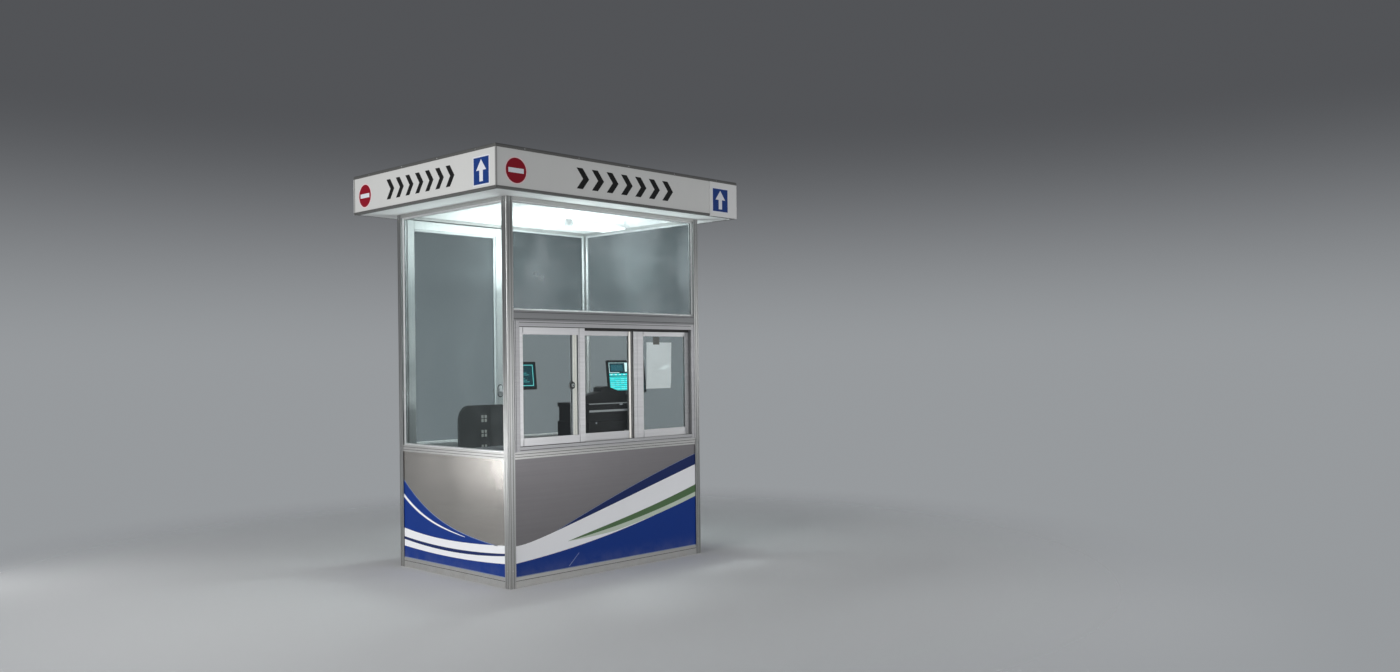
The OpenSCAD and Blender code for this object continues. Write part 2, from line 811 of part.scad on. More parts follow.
// Printer in four parts: lower body, narrower upper body, lid, and a thin paper feeder that rises in a step
module printer() {
  lid_t = 26;
  waist = 8;
  lower_h = printer_h * 0.55;
  lid_z = printer_h - lid_t;
  feeder_d = printer_d * 0.24;
  feeder_y = printer_d * 0.1;
  feeder_from = printer_l * 0.03;
  feeder_step = printer_l * 0.29;
  feeder_to = printer_l * 0.87;
  color(black_plastic) in_booth() translate([printer_x, counter_y0 + 15, counter_z1]) {
    difference() {
      along_z(lower_h) rounded(printer_l, printer_d, 16);
      translate([printer_l * 0.15, printer_d - 12, lower_h * 0.4])
        cube([printer_l * 0.7, 13, lower_h * 0.35]);
    }
    translate([waist, waist, lower_h + hairline])
      along_z(lid_z - lower_h - 2 * hairline)
        rounded(printer_l - 2 * waist, printer_d - 2 * waist, 12);
    translate([0, 0, lid_z]) along_z(lid_t) rounded(printer_l, printer_d, 16);
    translate([0, feeder_y, printer_h + hairline])
      along_y(feeder_d)
        polygon([[feeder_from, 0], [feeder_to, 0], [feeder_to, feeder_h * 0.3],
                 [printer_l * 0.40, feeder_h], [printer_l * 0.34, feeder_h],
                 [feeder_step, feeder_h * 0.93], [feeder_step, feeder_h * 0.68],
                 [feeder_from, feeder_h * 0.45]]);
  }
}

// Chair: the back's shell is part of an upright cylinder, its axis in front of the sitter's side
shell_t = 20;
shell_y = chair_y + 35 - chair_bow - shell_t;
chair_pad_t = 40;
upright_x = chair_w / 2 - 60;
upright_y = shell_y + sqrt(pow(chair_bow + shell_t + hairline + tube_r, 2) - pow(upright_x, 2));
chair_rail_z = seat_z - chair_pad_t - hairline - tube_r;
front_leg_y = chair_y - seat_d + 50;

// The chair's seat, rounded at its corners and its front edge
module chair_seat() {
  half = chair_pad_t / 2;
  intersection() {
    translate([-chair_w / 2, chair_y - seat_d, seat_z - chair_pad_t])
      along_z(chair_pad_t) rounded(chair_w, seat_d - 12, 55);
    translate([-chair_w / 2 - 1, chair_y - seat_d, seat_z - chair_pad_t]) along_x(chair_w + 2) {
      translate([half, 0]) square([seat_d, chair_pad_t]);
      translate([half, half]) circle(half);
    }
  }
}

// The chair's back: a bowed shell with a channel down its middle and three vents in it, each a cross of bars
module chair_back() {
  vent = 44;
  bar = 5;
  hole = (vent - bar) / 2;
  vent_pitch = 93;
  channel_w = 84;
  channel_d = 4;
  channel_y = shell_y + chair_bow + channel_d;
  back_z0 = seat_z + 60;
  difference() {
    intersection() {
      translate([0, shell_y, back_z0]) difference() {
        cylinder(h = chair_h - back_z0, r = chair_bow + shell_t, $fn = 180);
        translate([0, 0, -1]) cylinder(h = chair_h - back_z0 + 2, r = chair_bow, $fn = 180);
      }
      translate([-chair_w / 2, chair_y - 60, back_z0])
        along_y(120) rounded(chair_w, chair_h - back_z0, chair_r);
    }
    translate([-channel_w / 2, channel_y - 100, back_z0 + 40])
      cube([channel_w, 100, chair_h - back_z0 - 70]);
    for (i = [0:2]) for (a = [-1, 1]) for (b = [-1, 1])
      translate([a * (hole + bar) / 2, chair_y, chair_h - 85 - i * vent_pitch + b * (hole + bar) / 2])
        cube([hole, 120, hole], center = true);
  }
}

module chair_shell() {
  color(black_plastic) in_booth() translate([chair_x, 0, 0]) {
    chair_seat();
    chair_back();
  }
}

// Tubes that carry the seat and the back: side rails on two front legs and two uprights
module chair_legs() {
  foot_r = tube_r + 3;
  foot_h = 8;
  upright_z1 = seat_z + (chair_h - seat_z) * 0.43;
  legs = [[front_leg_y, chair_rail_z - tube_r - hairline], [upright_y, upright_z1]];
  rail_y0 = front_leg_y - tube_r;
  rail_y1 = upright_y - tube_r - hairline;
  cross_x = upright_x - tube_r - hairline;
  color("dimgray") in_booth() translate([chair_x, 0, 0]) {
    for (side = [-1, 1]) {
      for (leg = legs) translate([side * upright_x, leg[0], floor_t]) {
        cylinder(h = foot_h, r = foot_r, $fn = 12);
        cylinder(h = leg[1] - floor_t, r = tube_r);
      }
      translate([side * upright_x, rail_y1, chair_rail_z])
        rotate([90, 0, 0]) cylinder(h = rail_y1 - rail_y0, r = tube_r);
    }
    for (y = [front_leg_y + 40, rail_y1 - 60])
      translate([-cross_x, y, chair_rail_z]) rotate([0, 90, 0]) cylinder(h = 2 * cross_x, r = tube_r);
  }
}

post_front_left();
post_front_right();
post_back_left();
post_back_right();
base_rails();
floor_board();
panel_front();
panel_left();
panel_right();
panel_back();
sill_rails();
front_transom();
head_rails();
window_frame();
sash_left();
sash_middle();
sash_right();
sash_glass();
window_latch();
glass_front();
glass_left();
glass_right();
glass_back();
glazing_beads();
door_jamb();
door_frame();
door_glass();
door_beads();
door_panel();
door_lock();
hinges_post_side();
hinges_door_side();
ceiling_board();
fascia_front();
fascia_left();
fascia_right();
fascia_back();
fascia_trims();
roof_board();
ceiling_lamp();
globe_lamp();
counter();
counter_brackets();
screens();
printer();
chair_shell();
chair_legs();
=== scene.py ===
"""Finishes, signs and small fittings of an aluminium and glass guard booth.

Everything is in metres in the shared frame. The window side faces -Y and the short glazed side -X.
Each side of the booth and of its canopy is drawn on as seen from outside, from its left end.
"""

import math
from itertools import product

import bmesh
import bpy
from mathutils import Matrix, Vector


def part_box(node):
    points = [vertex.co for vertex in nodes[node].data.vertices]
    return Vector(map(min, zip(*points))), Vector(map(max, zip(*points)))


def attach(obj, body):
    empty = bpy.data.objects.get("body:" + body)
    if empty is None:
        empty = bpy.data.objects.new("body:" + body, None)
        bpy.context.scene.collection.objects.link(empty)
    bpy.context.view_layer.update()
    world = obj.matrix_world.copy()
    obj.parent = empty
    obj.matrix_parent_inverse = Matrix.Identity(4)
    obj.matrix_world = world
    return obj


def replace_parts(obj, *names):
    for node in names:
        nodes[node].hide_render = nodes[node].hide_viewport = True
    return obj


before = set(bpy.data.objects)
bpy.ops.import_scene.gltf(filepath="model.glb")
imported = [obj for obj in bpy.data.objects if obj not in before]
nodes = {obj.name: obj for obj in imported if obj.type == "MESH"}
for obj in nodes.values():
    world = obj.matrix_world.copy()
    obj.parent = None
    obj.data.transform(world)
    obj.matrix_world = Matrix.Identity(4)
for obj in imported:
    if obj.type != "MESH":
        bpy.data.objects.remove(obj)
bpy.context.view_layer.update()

UP = Vector((0.0, 0.0, 1.0))

# Thickness of cut vinyl, of a drawn dark line of painted shade and of a block on a screen
FILM = 0.0004

# Widths and thicknesses that the part's source gives its bars
POST = 0.045
BEAD = 0.010
SASH_STILE = 0.040
MEETING_STILE = 0.050
BROAD_STILE = 0.084
SASH_TOP = 0.054
SASH_BOTTOM = 0.060
SASH_GLASS = 0.005

# The booth's own corners, from its posts
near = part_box("post_front_left")[0]
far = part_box("post_back_right")[1]


class Side:
    """A face seen from outside: along it to the right, out of it, and up it."""

    def __init__(self, origin, right=(1.0, 0.0, 0.0), rise=UP, wide=0.0):
        self.origin = Vector(origin)
        self.right = Vector(right)
        self.rise = Vector(rise)
        self.out = self.right.cross(self.rise)
        self.wide = wide

    def at(self, along, out, up):
        """A point on or off this face."""
        return self.origin + self.right * along + self.out * out + self.rise * up

    def span(self, low, high):
        """A box of the shared frame, as its lowest and highest distance along, out and up."""
        ends = [Vector(low) - self.origin, Vector(high) - self.origin]
        along = sorted(end.dot(self.right) for end in ends)
        out = sorted(end.dot(self.out) for end in ends)
        return along, out, [low.z, high.z]


def four_sides(low, high):
    """The four sides of an upright block."""
    wide = high.x - low.x
    deep = high.y - low.y
    return {
        "front": Side((low.x, low.y, 0.0), (1.0, 0.0, 0.0), wide=wide),
        "right": Side((high.x, low.y, 0.0), (0.0, 1.0, 0.0), wide=deep),
        "back": Side((high.x, high.y, 0.0), (-1.0, 0.0, 0.0), wide=wide),
        "left": Side((low.x, high.y, 0.0), (0.0, -1.0, 0.0), wide=deep),
    }


SIDES = ("front", "left", "right", "back")
walls = four_sides(near, far)
front = walls["front"]
back = walls["back"]
fascia_low = Vector((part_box("fascia_left")[0].x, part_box("fascia_front")[0].y, 0.0))
fascia_high = Vector((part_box("fascia_right")[1].x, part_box("fascia_back")[1].y, 0.0))
canopy = four_sides(fascia_low, fascia_high)
trims = four_sides(*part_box("fascia_trims"))


class Wire:
    """The output of a shader node. Arithmetic on it adds Math nodes."""

    def __init__(self, tree, socket):
        self.tree = tree
        self.socket = socket

    def node(self, kind, settings=None, sockets=None, out=0):
        """A new node: its settings first, then the values or wires of its sockets."""
        made = self.tree.nodes.new("ShaderNode" + kind)
        for name, value in (settings or {}).items():
            setattr(made, name, value)
        for name, value in (sockets or {}).items():
            if isinstance(value, Wire):
                self.tree.links.new(value.socket, made.inputs[name])
            else:
                made.inputs[name].default_value = value
        return Wire(self.tree, made.outputs[out])

    def math(self, operation, first, second):
        """A Math node on two wires or values."""
        return self.node("Math", {"operation": operation}, {0: first, 1: second})

    def __add__(self, other):
        return self.math("ADD", self, other)

    def __sub__(self, other):
        return self.math("SUBTRACT", self, other)

    def __rsub__(self, other):
        return self.math("SUBTRACT", other, self)

    def __mul__(self, other):
        return self.math("MULTIPLY", self, other)

    def __pow__(self, other):
        return self.math("POWER", self, other)

    __radd__ = __add__
    __rmul__ = __mul__

    def other(self, name):
        """Another output of the node that this wire comes from."""
        return Wire(self.tree, self.socket.node.outputs[name])

    def stretch(self, x, y, z):
        """This vector, scaled on each axis."""
        return self.node("Mapping", None, {"Vector": self, "Scale": (x, y, z)})

    def noise(self, scale, detail=2.0, rough=0.5):
        """Soft noise over this vector, about 0.5."""
        sockets = {"Vector": self, "Scale": scale, "Detail": detail, "Roughness": rough}
        return self.node("TexNoise", None, sockets)

    def axis(self, name):
        """One axis of this vector."""
        return self.node("SeparateXYZ", None, {0: self}, out=name)

    def fade(self, low, high):
        """0 at low and 1 at high, smooth between them."""
        settings = {"interpolation_type": "SMOOTHSTEP"}
        return self.node("MapRange", settings, {"Value": self, "From Min": low, "From Max": high})

    def mix(self, first, second):
        """The first colour where this is 0 and the second where it is 1."""
        return self.node("Mix", {"data_type": "RGBA"}, {0: self, 6: first, 7: second}, out=2)


def material(name, paint):
    """A material whose surface is what paint makes from the object coordinates."""
    made = bpy.data.materials.new(name)
    made.use_nodes = True
    tree = made.node_tree
    tree.nodes.clear()
    place = Wire(tree, None).node("TexCoord", out="Object")
    output = tree.nodes.new("ShaderNodeOutputMaterial")
    tree.links.new(paint(place).socket, output.inputs["Surface"])
    return made


def rgb(red, green, blue):
    """An opaque linear colour."""
    return (red, green, blue, 1.0)


def shade(colour, factor):
    """A colour made darker or lighter."""
    return rgb(*(min(1.0, part * factor) for part in colour[:3]))


def principled(place, colour, rough, **more):
    """The Principled shader; more names further sockets, with _ for a space."""
    sockets = {"Base Color": colour, "Roughness": rough}
    sockets.update({name.replace("_", " "): value for name, value in more.items()})
    return place.node("BsdfPrincipled", None, sockets)


def bump(place, height, distance, strength):
    """A fine relief of the given height map."""
    sockets = {"Height": height, "Distance": distance, "Strength": strength}
    return place.node("Bump", None, sockets)


def ground_dust(place, height=0.22):
    """A mask that is strongest at the ground and broken up by noise."""
    low = 1 - place.axis("Z").fade(0.0, height)
    return low * place.noise(9.0, 4.0, 0.6).fade(0.25, 0.75)


def metal(name, colour, rough, grain, streak=0.10, cloud=0.10, stretch_gloss=0.0, metallic=0.55):
    """Drawn or brushed metal. Grain is its lines' fineness along each axis."""

    def paint(place):
        fine = place.stretch(*grain).noise(1.0, 3.0, 0.6)
        wide = place.stretch(*(part * 0.12 for part in grain)).noise(1.0, 2.0, 0.5)
        clouds = place.noise(3.0, 4.0, 0.6).fade(0.3, 0.7)
        dark = shade(colour, 1 - streak)
        light = shade(colour, 1 + streak)
        tone = (fine * 0.6 + wide * 0.4).fade(0.3, 0.7).mix(dark, light)
        tone = (clouds * cloud).mix(tone, shade(colour, 0.72))
        dust = ground_dust(place)
        tone = (dust * 0.35).mix(tone, rgb(0.33, 0.31, 0.28))
        gloss = rough + fine * 0.10 + clouds * 0.04 + dust * 0.20 - 0.05
        normal = bump(place, fine, 0.00012, 0.5)
        return principled(place, tone, gloss, Metallic=metallic, Normal=normal, Anisotropic=stretch_gloss)

    return material(name, paint)


def painted(name, colour, rough, speck=0.06, grime=0.0, coat=0.0):
    """Painted or laminated sheet: faint mottling, dust in soft patches, a trace of orange peel."""

    def paint(place):
        patches = place.noise(2.2, 5.0, 0.6).fade(0.35, 0.75)
        fine = place.noise(60.0, 3.0, 0.6)
        tone = (patches * (speck + grime)).mix(colour, shade(colour, 0.62))
        tone = (fine.fade(0.45, 0.8) * speck).mix(tone, shade(colour, 0.80))
        peel = bump(place, place.noise(420.0, 1.0), 0.0002, 0.12)
        gloss = rough + patches * 0.12
        return principled(place, tone, gloss, Normal=peel, Coat_Weight=coat, Coat_Roughness=0.12)

    return material(name, paint)


def film(name, colour, rough=0.42, fade=0.10):
    """Cut vinyl: even, faintly faded in patches, rubbed and dusty near the ground."""

    def paint(place):
        patches = place.noise(4.0, 4.0, 0.6).fade(0.4, 0.75)
        rubs = place.stretch(6.0, 6.0, 40.0).noise(3.0, 4.0, 0.7).fade(0.62, 0.8)
        tone = (patches * fade).mix(colour, shade(colour, 0.75))
        tone = (rubs * 0.06 + ground_dust(place, 0.16) * 0.18).mix(tone, rgb(0.42, 0.41, 0.40))
        gloss = rough + patches * 0.10 + rubs * 0.2
        return principled(place, tone, gloss, Specular_IOR_Level=0.14)

    return material(name, paint)


def plastic(name, colour, rough, grain=900.0, depth=0.00005):
    """Moulded plastic with a fine grain and rubbed places."""

    def paint(place):
        cells = place.noise(grain, 2.0, 0.6)
        rubbed = place.noise(7.0, 4.0, 0.6).fade(0.4, 0.7)
        tone = (rubbed * 0.35).mix(colour, shade(colour, 1.6))
        normal = bump(place, cells, depth, 0.6)
        return principled(place, tone, rough - rubbed * 0.10, Normal=normal, Specular_IOR_Level=0.2)

    return material(name, paint)


def glass(name, tint, dust, dusty=rgb(0.50, 0.55, 0.56)):
    """Clear sheet glass: it lets light straight through, mirrors at a slant and has a dusty film."""

    def paint(place):
        slant = place.node("LayerWeight", None, {"Blend": 0.5}, out="Facing")
        clouds = place.stretch(1.0, 1.0, 0.6).noise(2.6, 4.0, 0.55).fade(0.40, 0.76)
        wipes = place.stretch(3.0, 3.0, 14.0).noise(1.0, 3.0, 0.6).fade(0.5, 0.8)
        share = 0.02 + slant ** 4.0 * 0.6 + clouds * dust + wipes * (dust * 0.3)
        clear = place.node("BsdfTransparent", None, {"Color": tint})
        sheen = principled(place, dusty, 0.04 + clouds * 0.25, Specular_IOR_Level=0.8)
        return place.node("MixShader", None, {0: share, 1: clear, 2: sheen})

    return material(name, paint)


def glowing(name, colour, strength, rough=0.35):
    """A lit face whose light is a little uneven. It serves the screens and the lamp's cover, and parts
    whose glow is painted light.
    """

    def paint(place):
        uneven = place.noise(5.0, 2.0).fade(0.2, 0.8)
        tone = uneven.mix(shade(colour, 0.90), colour)
        return principled(place, tone, rough, Emission_Color=tone, Emission_Strength=strength)

    return material(name, paint)


def matt(name, colour, rough):
    """Rubber, pile, tape and the like."""

    def paint(place):
        fine = place.noise(300.0, 3.0, 0.7)
        tone = fine.fade(0.3, 0.7).mix(shade(colour, 0.86), colour)
        return principled(place, tone, rough, Normal=bump(place, fine, 0.0001, 0.4))

    return material(name, paint)


# How fine the drawn lines are along X, Y and Z, on level bars, upright bars and brushed sheets
LEVEL_LINES = (3.0, 700.0, 700.0)
UPRIGHT_LINES = (700.0, 700.0, 3.0)
SHEET_LINES = (5.0, 5.0, 900.0)

finishes = {
    "posts": metal("post_aluminium", rgb(0.33, 0.335, 0.33), 0.30, UPRIGHT_LINES, metallic=0.8),
    "rails": metal("rail_aluminium", rgb(0.44, 0.44, 0.43), 0.32, LEVEL_LINES, metallic=0.7),
    "transom": metal("dark_aluminium", rgb(0.20, 0.205, 0.21), 0.38, LEVEL_LINES),
    "window": metal("window_aluminium", rgb(0.60, 0.60, 0.61), 0.36, LEVEL_LINES),
    # The window frame is the sashes' aluminium in a darker colour: painted shade, for the frame in shadow
    "frame": metal("window_frame_painted_shade_aluminium", rgb(0.38, 0.38, 0.39), 0.38, LEVEL_LINES),
    "door": metal("door_aluminium", rgb(0.66, 0.68, 0.67), 0.36, UPRIGHT_LINES),
    "beads": metal("bead_aluminium", rgb(0.76, 0.77, 0.77), 0.28, LEVEL_LINES),
    # The front sheet is the sides' brushed steel in a darker colour: painted shade, for the dark
    # reflection in the front
    "front": metal("front_sheet_painted_shade", rgb(0.165, 0.158, 0.165), 0.36, SHEET_LINES,
                   streak=0.05, cloud=0.16, stretch_gloss=0.5, metallic=0.7),
    "side": metal("side_sheet", rgb(0.33, 0.315, 0.295), 0.20, SHEET_LINES,
                  streak=0.05, cloud=0.08, stretch_gloss=0.4, metallic=0.8),
    "chrome": metal("chrome", rgb(0.86, 0.86, 0.86), 0.22, UPRIGHT_LINES,
                    streak=0.02, cloud=0.05, metallic=0.5),
    "hinge": metal("hinge_steel", rgb(0.50, 0.50, 0.50), 0.30, UPRIGHT_LINES),
    "trim": metal("trim_aluminium", rgb(0.12, 0.12, 0.115), 0.50, LEVEL_LINES, metallic=0.3),
    "angle": metal("angle_aluminium", rgb(0.32, 0.32, 0.31), 0.50, UPRIGHT_LINES, metallic=0.3),
    "fascia": painted("fascia_white", rgb(0.66, 0.66, 0.64), 0.38, 0.05, 0.06, 0.15),
    "ceiling": painted("ceiling_white", rgb(0.72, 0.73, 0.72), 0.50, 0.04, 0.05),
    "roof": painted("roof_sheet", rgb(0.42, 0.43, 0.42), 0.60, 0.10, 0.35),
    "floor": painted("floor_sheet", rgb(0.10, 0.10, 0.10), 0.55, 0.20, 0.20),
    "counter": painted("counter_laminate", rgb(0.14, 0.14, 0.15), 0.35, 0.15, 0.05),
    "bracket": painted("bracket_black", rgb(0.035, 0.035, 0.04), 0.45),
    "lamp": painted("lamp_housing", rgb(0.80, 0.80, 0.80), 0.35),
    "sign_face": painted("sign_face", rgb(0.76, 0.76, 0.75), 0.30, 0.03, 0.04, 0.3),
    "grey_part": painted("grey_moulding", rgb(0.30, 0.31, 0.32), 0.40),
    # Pale strips on the printer: painted highlights along its lid edge and its body's top edge
    "highlight_part": painted("printer_highlight_moulding", rgb(0.66, 0.67, 0.68), 0.35),
    # The vents' mesh glows: painted light, for light coming through the chair's vents
    "mesh": glowing("vent_mesh_painted_glow", rgb(0.60, 0.61, 0.56), 0.22, 0.60),
    "black": plastic("black_plastic", rgb(0.012, 0.012, 0.014), 0.42),
    "chair": plastic("chair_plastic", rgb(0.016, 0.020, 0.019), 0.38, 500.0, 0.00008),
    # Black rubber, also used for dark lines and discs of painted shade in flutes, gaps and recesses
    "rubber_and_shade": matt("black_rubber", rgb(0.018, 0.018, 0.018), 0.65),
    # Brush pile; the deep strip over the two inner sashes is also painted shade
    "pile_and_shade": matt("brush_pile", rgb(0.05, 0.05, 0.05), 0.95),
    # The paper glows: painted light, for the room's light coming through the sheet
    "paper": glowing("paper", rgb(0.84, 0.88, 0.88), 0.27, 0.85),
    # The interlock strips glow: painted light, for light falling on the middle sash's stiles
    "interlock": glowing("interlock_white_painted_glow", rgb(0.86, 0.84, 0.78), 0.50, 0.40),
    "tape": matt("brown_tape", rgb(0.20, 0.19, 0.17), 0.35),
    "sealant": matt("grey_sealant", rgb(0.34, 0.34, 0.33), 0.5),
    "opal": glowing("lamp_opal", rgb(0.86, 0.90, 0.90), 1.6),
    "globe": painted("globe_opal", rgb(0.36, 0.37, 0.37), 0.20, 0.02, 0.0, 0.4),
    "vinyl_blue": film("vinyl_blue", rgb(0.0012, 0.032, 0.225)),
    "vinyl_navy": film("vinyl_navy", rgb(0.006, 0.020, 0.110)),
    "vinyl_pale_blue": film("vinyl_pale_blue", rgb(0.22, 0.28, 0.46)),
    "vinyl_white": film("vinyl_white", rgb(0.88, 0.88, 0.90), 0.34, 0.04),
    "vinyl_green": film("vinyl_green", rgb(0.09, 0.17, 0.075)),
    "vinyl_pale_green": film("vinyl_pale_green", rgb(0.55, 0.62, 0.52), 0.34),
    "sign_red": film("sign_red", rgb(0.27, 0.005, 0.018)),
    "sign_pink": film("sign_pale_red", rgb(0.86, 0.62, 0.64)),
    "sign_blue": film("sign_blue", rgb(0.012, 0.045, 0.21)),
    "sign_white": film("sign_white", rgb(0.74, 0.75, 0.80), 0.34, 0.03),
    "sign_black": film("sign_black", rgb(0.012, 0.012, 0.012), 0.40),
    "lit_dark": glowing("screen_dark", rgb(0.004, 0.035, 0.045), 1.0, 0.20),
    "lit_teal": glowing("screen_teal", rgb(0.030, 0.66, 0.66), 1.0, 0.20),
    "lit_pale": glowing("screen_pale", rgb(0.16, 0.72, 0.70), 1.0, 0.20),
    "lit_dim": glowing("screen_dim", rgb(0.03, 0.20, 0.21), 1.0, 0.20),
    "lit_deep": glowing("screen_deep", rgb(0.012, 0.085, 0.11), 1.0, 0.20),
    "lit_white": glowing("screen_white", rgb(0.60, 0.80, 0.80), 1.0, 0.20),
    "pane": glass("clear_glass", rgb(0.75, 0.785, 0.79), 0.32, rgb(0.74, 0.80, 0.82)),
    "clear_pane": glass("side_clear_glass", rgb(0.80, 0.835, 0.84), 0.035),
    "sash_pane": glass("sash_clear_glass", rgb(0.91, 0.925, 0.925), 0.012),
}

# The nodes of the frame that take each finish
finish_nodes = {
    "posts": ["post_front_left", "post_front_right", "post_back_left", "post_back_right", "door_jamb"],
    "rails": ["base_rails", "sill_rails", "head_rails"],
    "transom": ["front_transom"],
    "floor": ["floor_board"],
    "front": ["panel_front"],
    "side": ["panel_left", "panel_right", "panel_back", "door_panel"],
    "frame": ["window_frame"],
    "window": ["sash_left", "sash_middle", "sash_right"],
    "sash_pane": ["sash_glass"],
    "chrome": ["window_latch", "door_lock"],
    "pane": ["glass_front"],
    "clear_pane": ["glass_left", "glass_right", "glass_back", "door_glass"],
    "beads": ["glazing_beads", "door_beads"],
    "door": ["door_frame"],
    "hinge": ["hinges_post_side", "hinges_door_side"],
    "ceiling": ["ceiling_board"],
    "fascia": ["fascia_front", "fascia_left", "fascia_right", "fascia_back"],
    "trim": ["fascia_trims"],
    "roof": ["roof_board"],
    "opal": ["ceiling_lamp"],
    "globe": ["globe_lamp"],
    "counter": ["counter"],
    "bracket": ["counter_brackets", "chair_legs"],
    "black": ["screens", "printer"],
    "chair": ["chair_shell"],
}
for finish, names in finish_nodes.items():
    for name in names:
        mesh = nodes[name].data
        mesh.materials.clear()
        mesh.materials.append(finishes[finish])


# Edges that turn by more than this stay sharp
SHARP = math.radians(35.0)


class Piece:
    """A new piece, made solid by solid, each in the finish that was chosen last."""

    def __init__(self, name, body="booth"):
        self.name = name
        self.body = body
        self.shape = bmesh.new()
        self.used = []

    def use(self, finish):
        """Chooses the finish of the solids that follow."""
        if finish not in self.used:
            self.used.append(finish)
        self.finish = self.used.index(finish)
        return self

    def keep(self, solid, edge=0.0):
        """Adds a finished solid, its edges rounded by the given radius, and frees it."""
        if edge:
            bmesh.ops.bevel(solid, geom=solid.edges[:], offset=edge, offset_type="OFFSET",
                            affect="EDGES", segments=2, profile=0.5, material=-1)
        bmesh.ops.recalc_face_normals(solid, faces=solid.faces[:])
        for face in solid.faces:
            face.material_index = self.finish
        mesh = bpy.data.meshes.new("solid")
        solid.to_mesh(mesh)
        solid.free()
        self.shape.from_mesh(mesh)
        bpy.data.meshes.remove(mesh)

    def block(self, place, size, edge=0.0):
        """A block of the given size about a place, which is a matrix."""
        solid = bmesh.new()
        bmesh.ops.create_cube(solid, size=1.0, matrix=place @ Matrix.Diagonal((*size, 1.0)))
        self.keep(solid, edge)

    def box(self, low, high):
        """A block from its lowest to its highest corner."""
        low = Vector(low)
        high = Vector(high)
        self.block(Matrix.Translation((low + high) / 2), high - low)

    def thicken(self, solid, way):
        """Pulls all faces of a flat solid along a vector, then keeps it."""
        made = bmesh.ops.extrude_face_region(solid, geom=solid.faces[:])["geom"]
        moved = [part for part in made if isinstance(part, bmesh.types.BMVert)]
        bmesh.ops.translate(solid, verts=moved, vec=way)
        self.keep(solid)

    def plate(self, side, outline, base, thick):
        """A flat plate on a side: its outline as (along, up), its back and its thickness."""
        solid = bmesh.new()
        solid.faces.new([solid.verts.new(side.at(along, base, up)) for along, up in outline])
        self.thicken(solid, side.out * thick)

    def slab(self, side, along, up, base, thick):
        """A rectangular plate on a side, from its ends along and up."""
        (a, b), (c, d) = along, up
        self.plate(side, [(a, c), (b, c), (b, d), (a, d)], base, thick)

    def ring(self, side, along, up, width, base, thick):
        """Meant as mitred bars inside a rectangle on a side. It gives only the walls round it."""
        (a, b), (c, d) = along, up
        solid = bmesh.new()
        corners = [side.at(place, base, height) for place, height in ((a, c), (b, c), (b, d), (a, d))]
        middle = solid.faces.new([solid.verts.new(corner) for corner in corners])
        # The inset gets no width, because the new face's normal isn't updated before it
        bmesh.ops.inset_region(solid, faces=[middle], thickness=width, use_even_offset=True,
                               use_boundary=True)
        bmesh.ops.delete(solid, geom=[middle], context="FACES")
        self.thicken(solid, side.out * thick)

    def band(self, side, curves, reach, base):
        """A film on a side between two curves, each giving the height at a distance along."""
        solid = bmesh.new()
        bmesh.ops.create_grid(solid, x_segments=40, y_segments=1, size=0.5)
        for vert in solid.verts:
            along = reach[0] + (reach[1] - reach[0]) * (vert.co.x + 0.5)
            low, high = (curve(along) for curve in curves)
            vert.co = side.at(along, base, low if vert.co.y < 0 else max(high, low + FILM))
        self.thicken(solid, side.out * FILM)

    def turned(self, foot, axis, profile, count=24):
        """A round solid on an axis: its profile as (radius, distance along the axis)."""
        solid = bmesh.new()
        foot = Vector(foot)
        axis = Vector(axis).normalized()
        across = axis.orthogonal().normalized()
        points = [(0.0, profile[0][1]), *profile, (0.0, profile[-1][1])]
        line = [solid.verts.new(foot + across * radius + axis * far) for radius, far in points]
        edges = [solid.edges.new(pair) for pair in zip(line, line[1:])]
        bmesh.ops.spin(solid, geom=line + edges, cent=foot, axis=axis, angle=math.radians(360.0),
                       steps=count, use_merge=True)
        bmesh.ops.remove_doubles(solid, verts=solid.verts[:], dist=0.000001)
        self.keep(solid)

    def done(self, slot):
        """Makes the object, which rides on its body. The colour slot is not used."""
        mesh = bpy.data.meshes.new(self.name)
        self.shape.to_mesh(mesh)
        self.shape.free()
        for finish in self.used:
            mesh.materials.append(finishes[finish])
        for polygon in mesh.polygons:
            polygon.use_smooth = True
        mesh.set_sharp_from_angle(angle=SHARP)
        made = bpy.data.objects.new(self.name, mesh)
        bpy.context.scene.collection.objects.link(made)
        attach(made, self.body)
        return made


# Vinyl on the lower walls. Each curve gives a height at a distance from the side's left end
SWOOSH_END = 1.000
SWOOSH_REACH = 0.956
WHITE_LINE_END = 0.700
WHITE_LINE_REACH = 0.660
STRIPE_MIDDLE = 0.530
STRIPE_REACH = 0.490
PALE_EDGE = 0.004
PALE_PAST_END = 0.020


def falling(end, reach, low, slope, curl):
    """An edge that falls from the left to its end: the height there, its slope and its upward curl."""

    def curve(along):
        rest = max(0.0, (end - along) / reach)
        return low + slope * rest + curl * rest ** 3

    return curve


def sagging(low, left, lean=0.0):
    """A stripe's edge: its lowest height, how much it rises to the left, and how much it leans."""

    def curve(along):
        place = (along - STRIPE_MIDDLE) / STRIPE_REACH
        return low + left * place ** 2 - lean * place ** 3

    return curve


def raised(curve, by):
    """A curve moved up."""
    return lambda along: curve(along) + by


def level(height):
    """A level edge."""
    return lambda along: height


swoosh_top = falling(SWOOSH_END, SWOOSH_REACH, 0.230, 0.087, 0.226)
white_line_top = falling(WHITE_LINE_END, WHITE_LINE_REACH, 0.252, 0.0934, 0.1156)
white_line_low = falling(WHITE_LINE_END, WHITE_LINE_REACH, 0.249, 0.0754, 0.1156)
upper_stripe = (sagging(0.169, 0.021, 0.001), sagging(0.215, 0.025, 0.005))
lower_stripe = (sagging(0.117, 0.0155), sagging(0.149, 0.025))

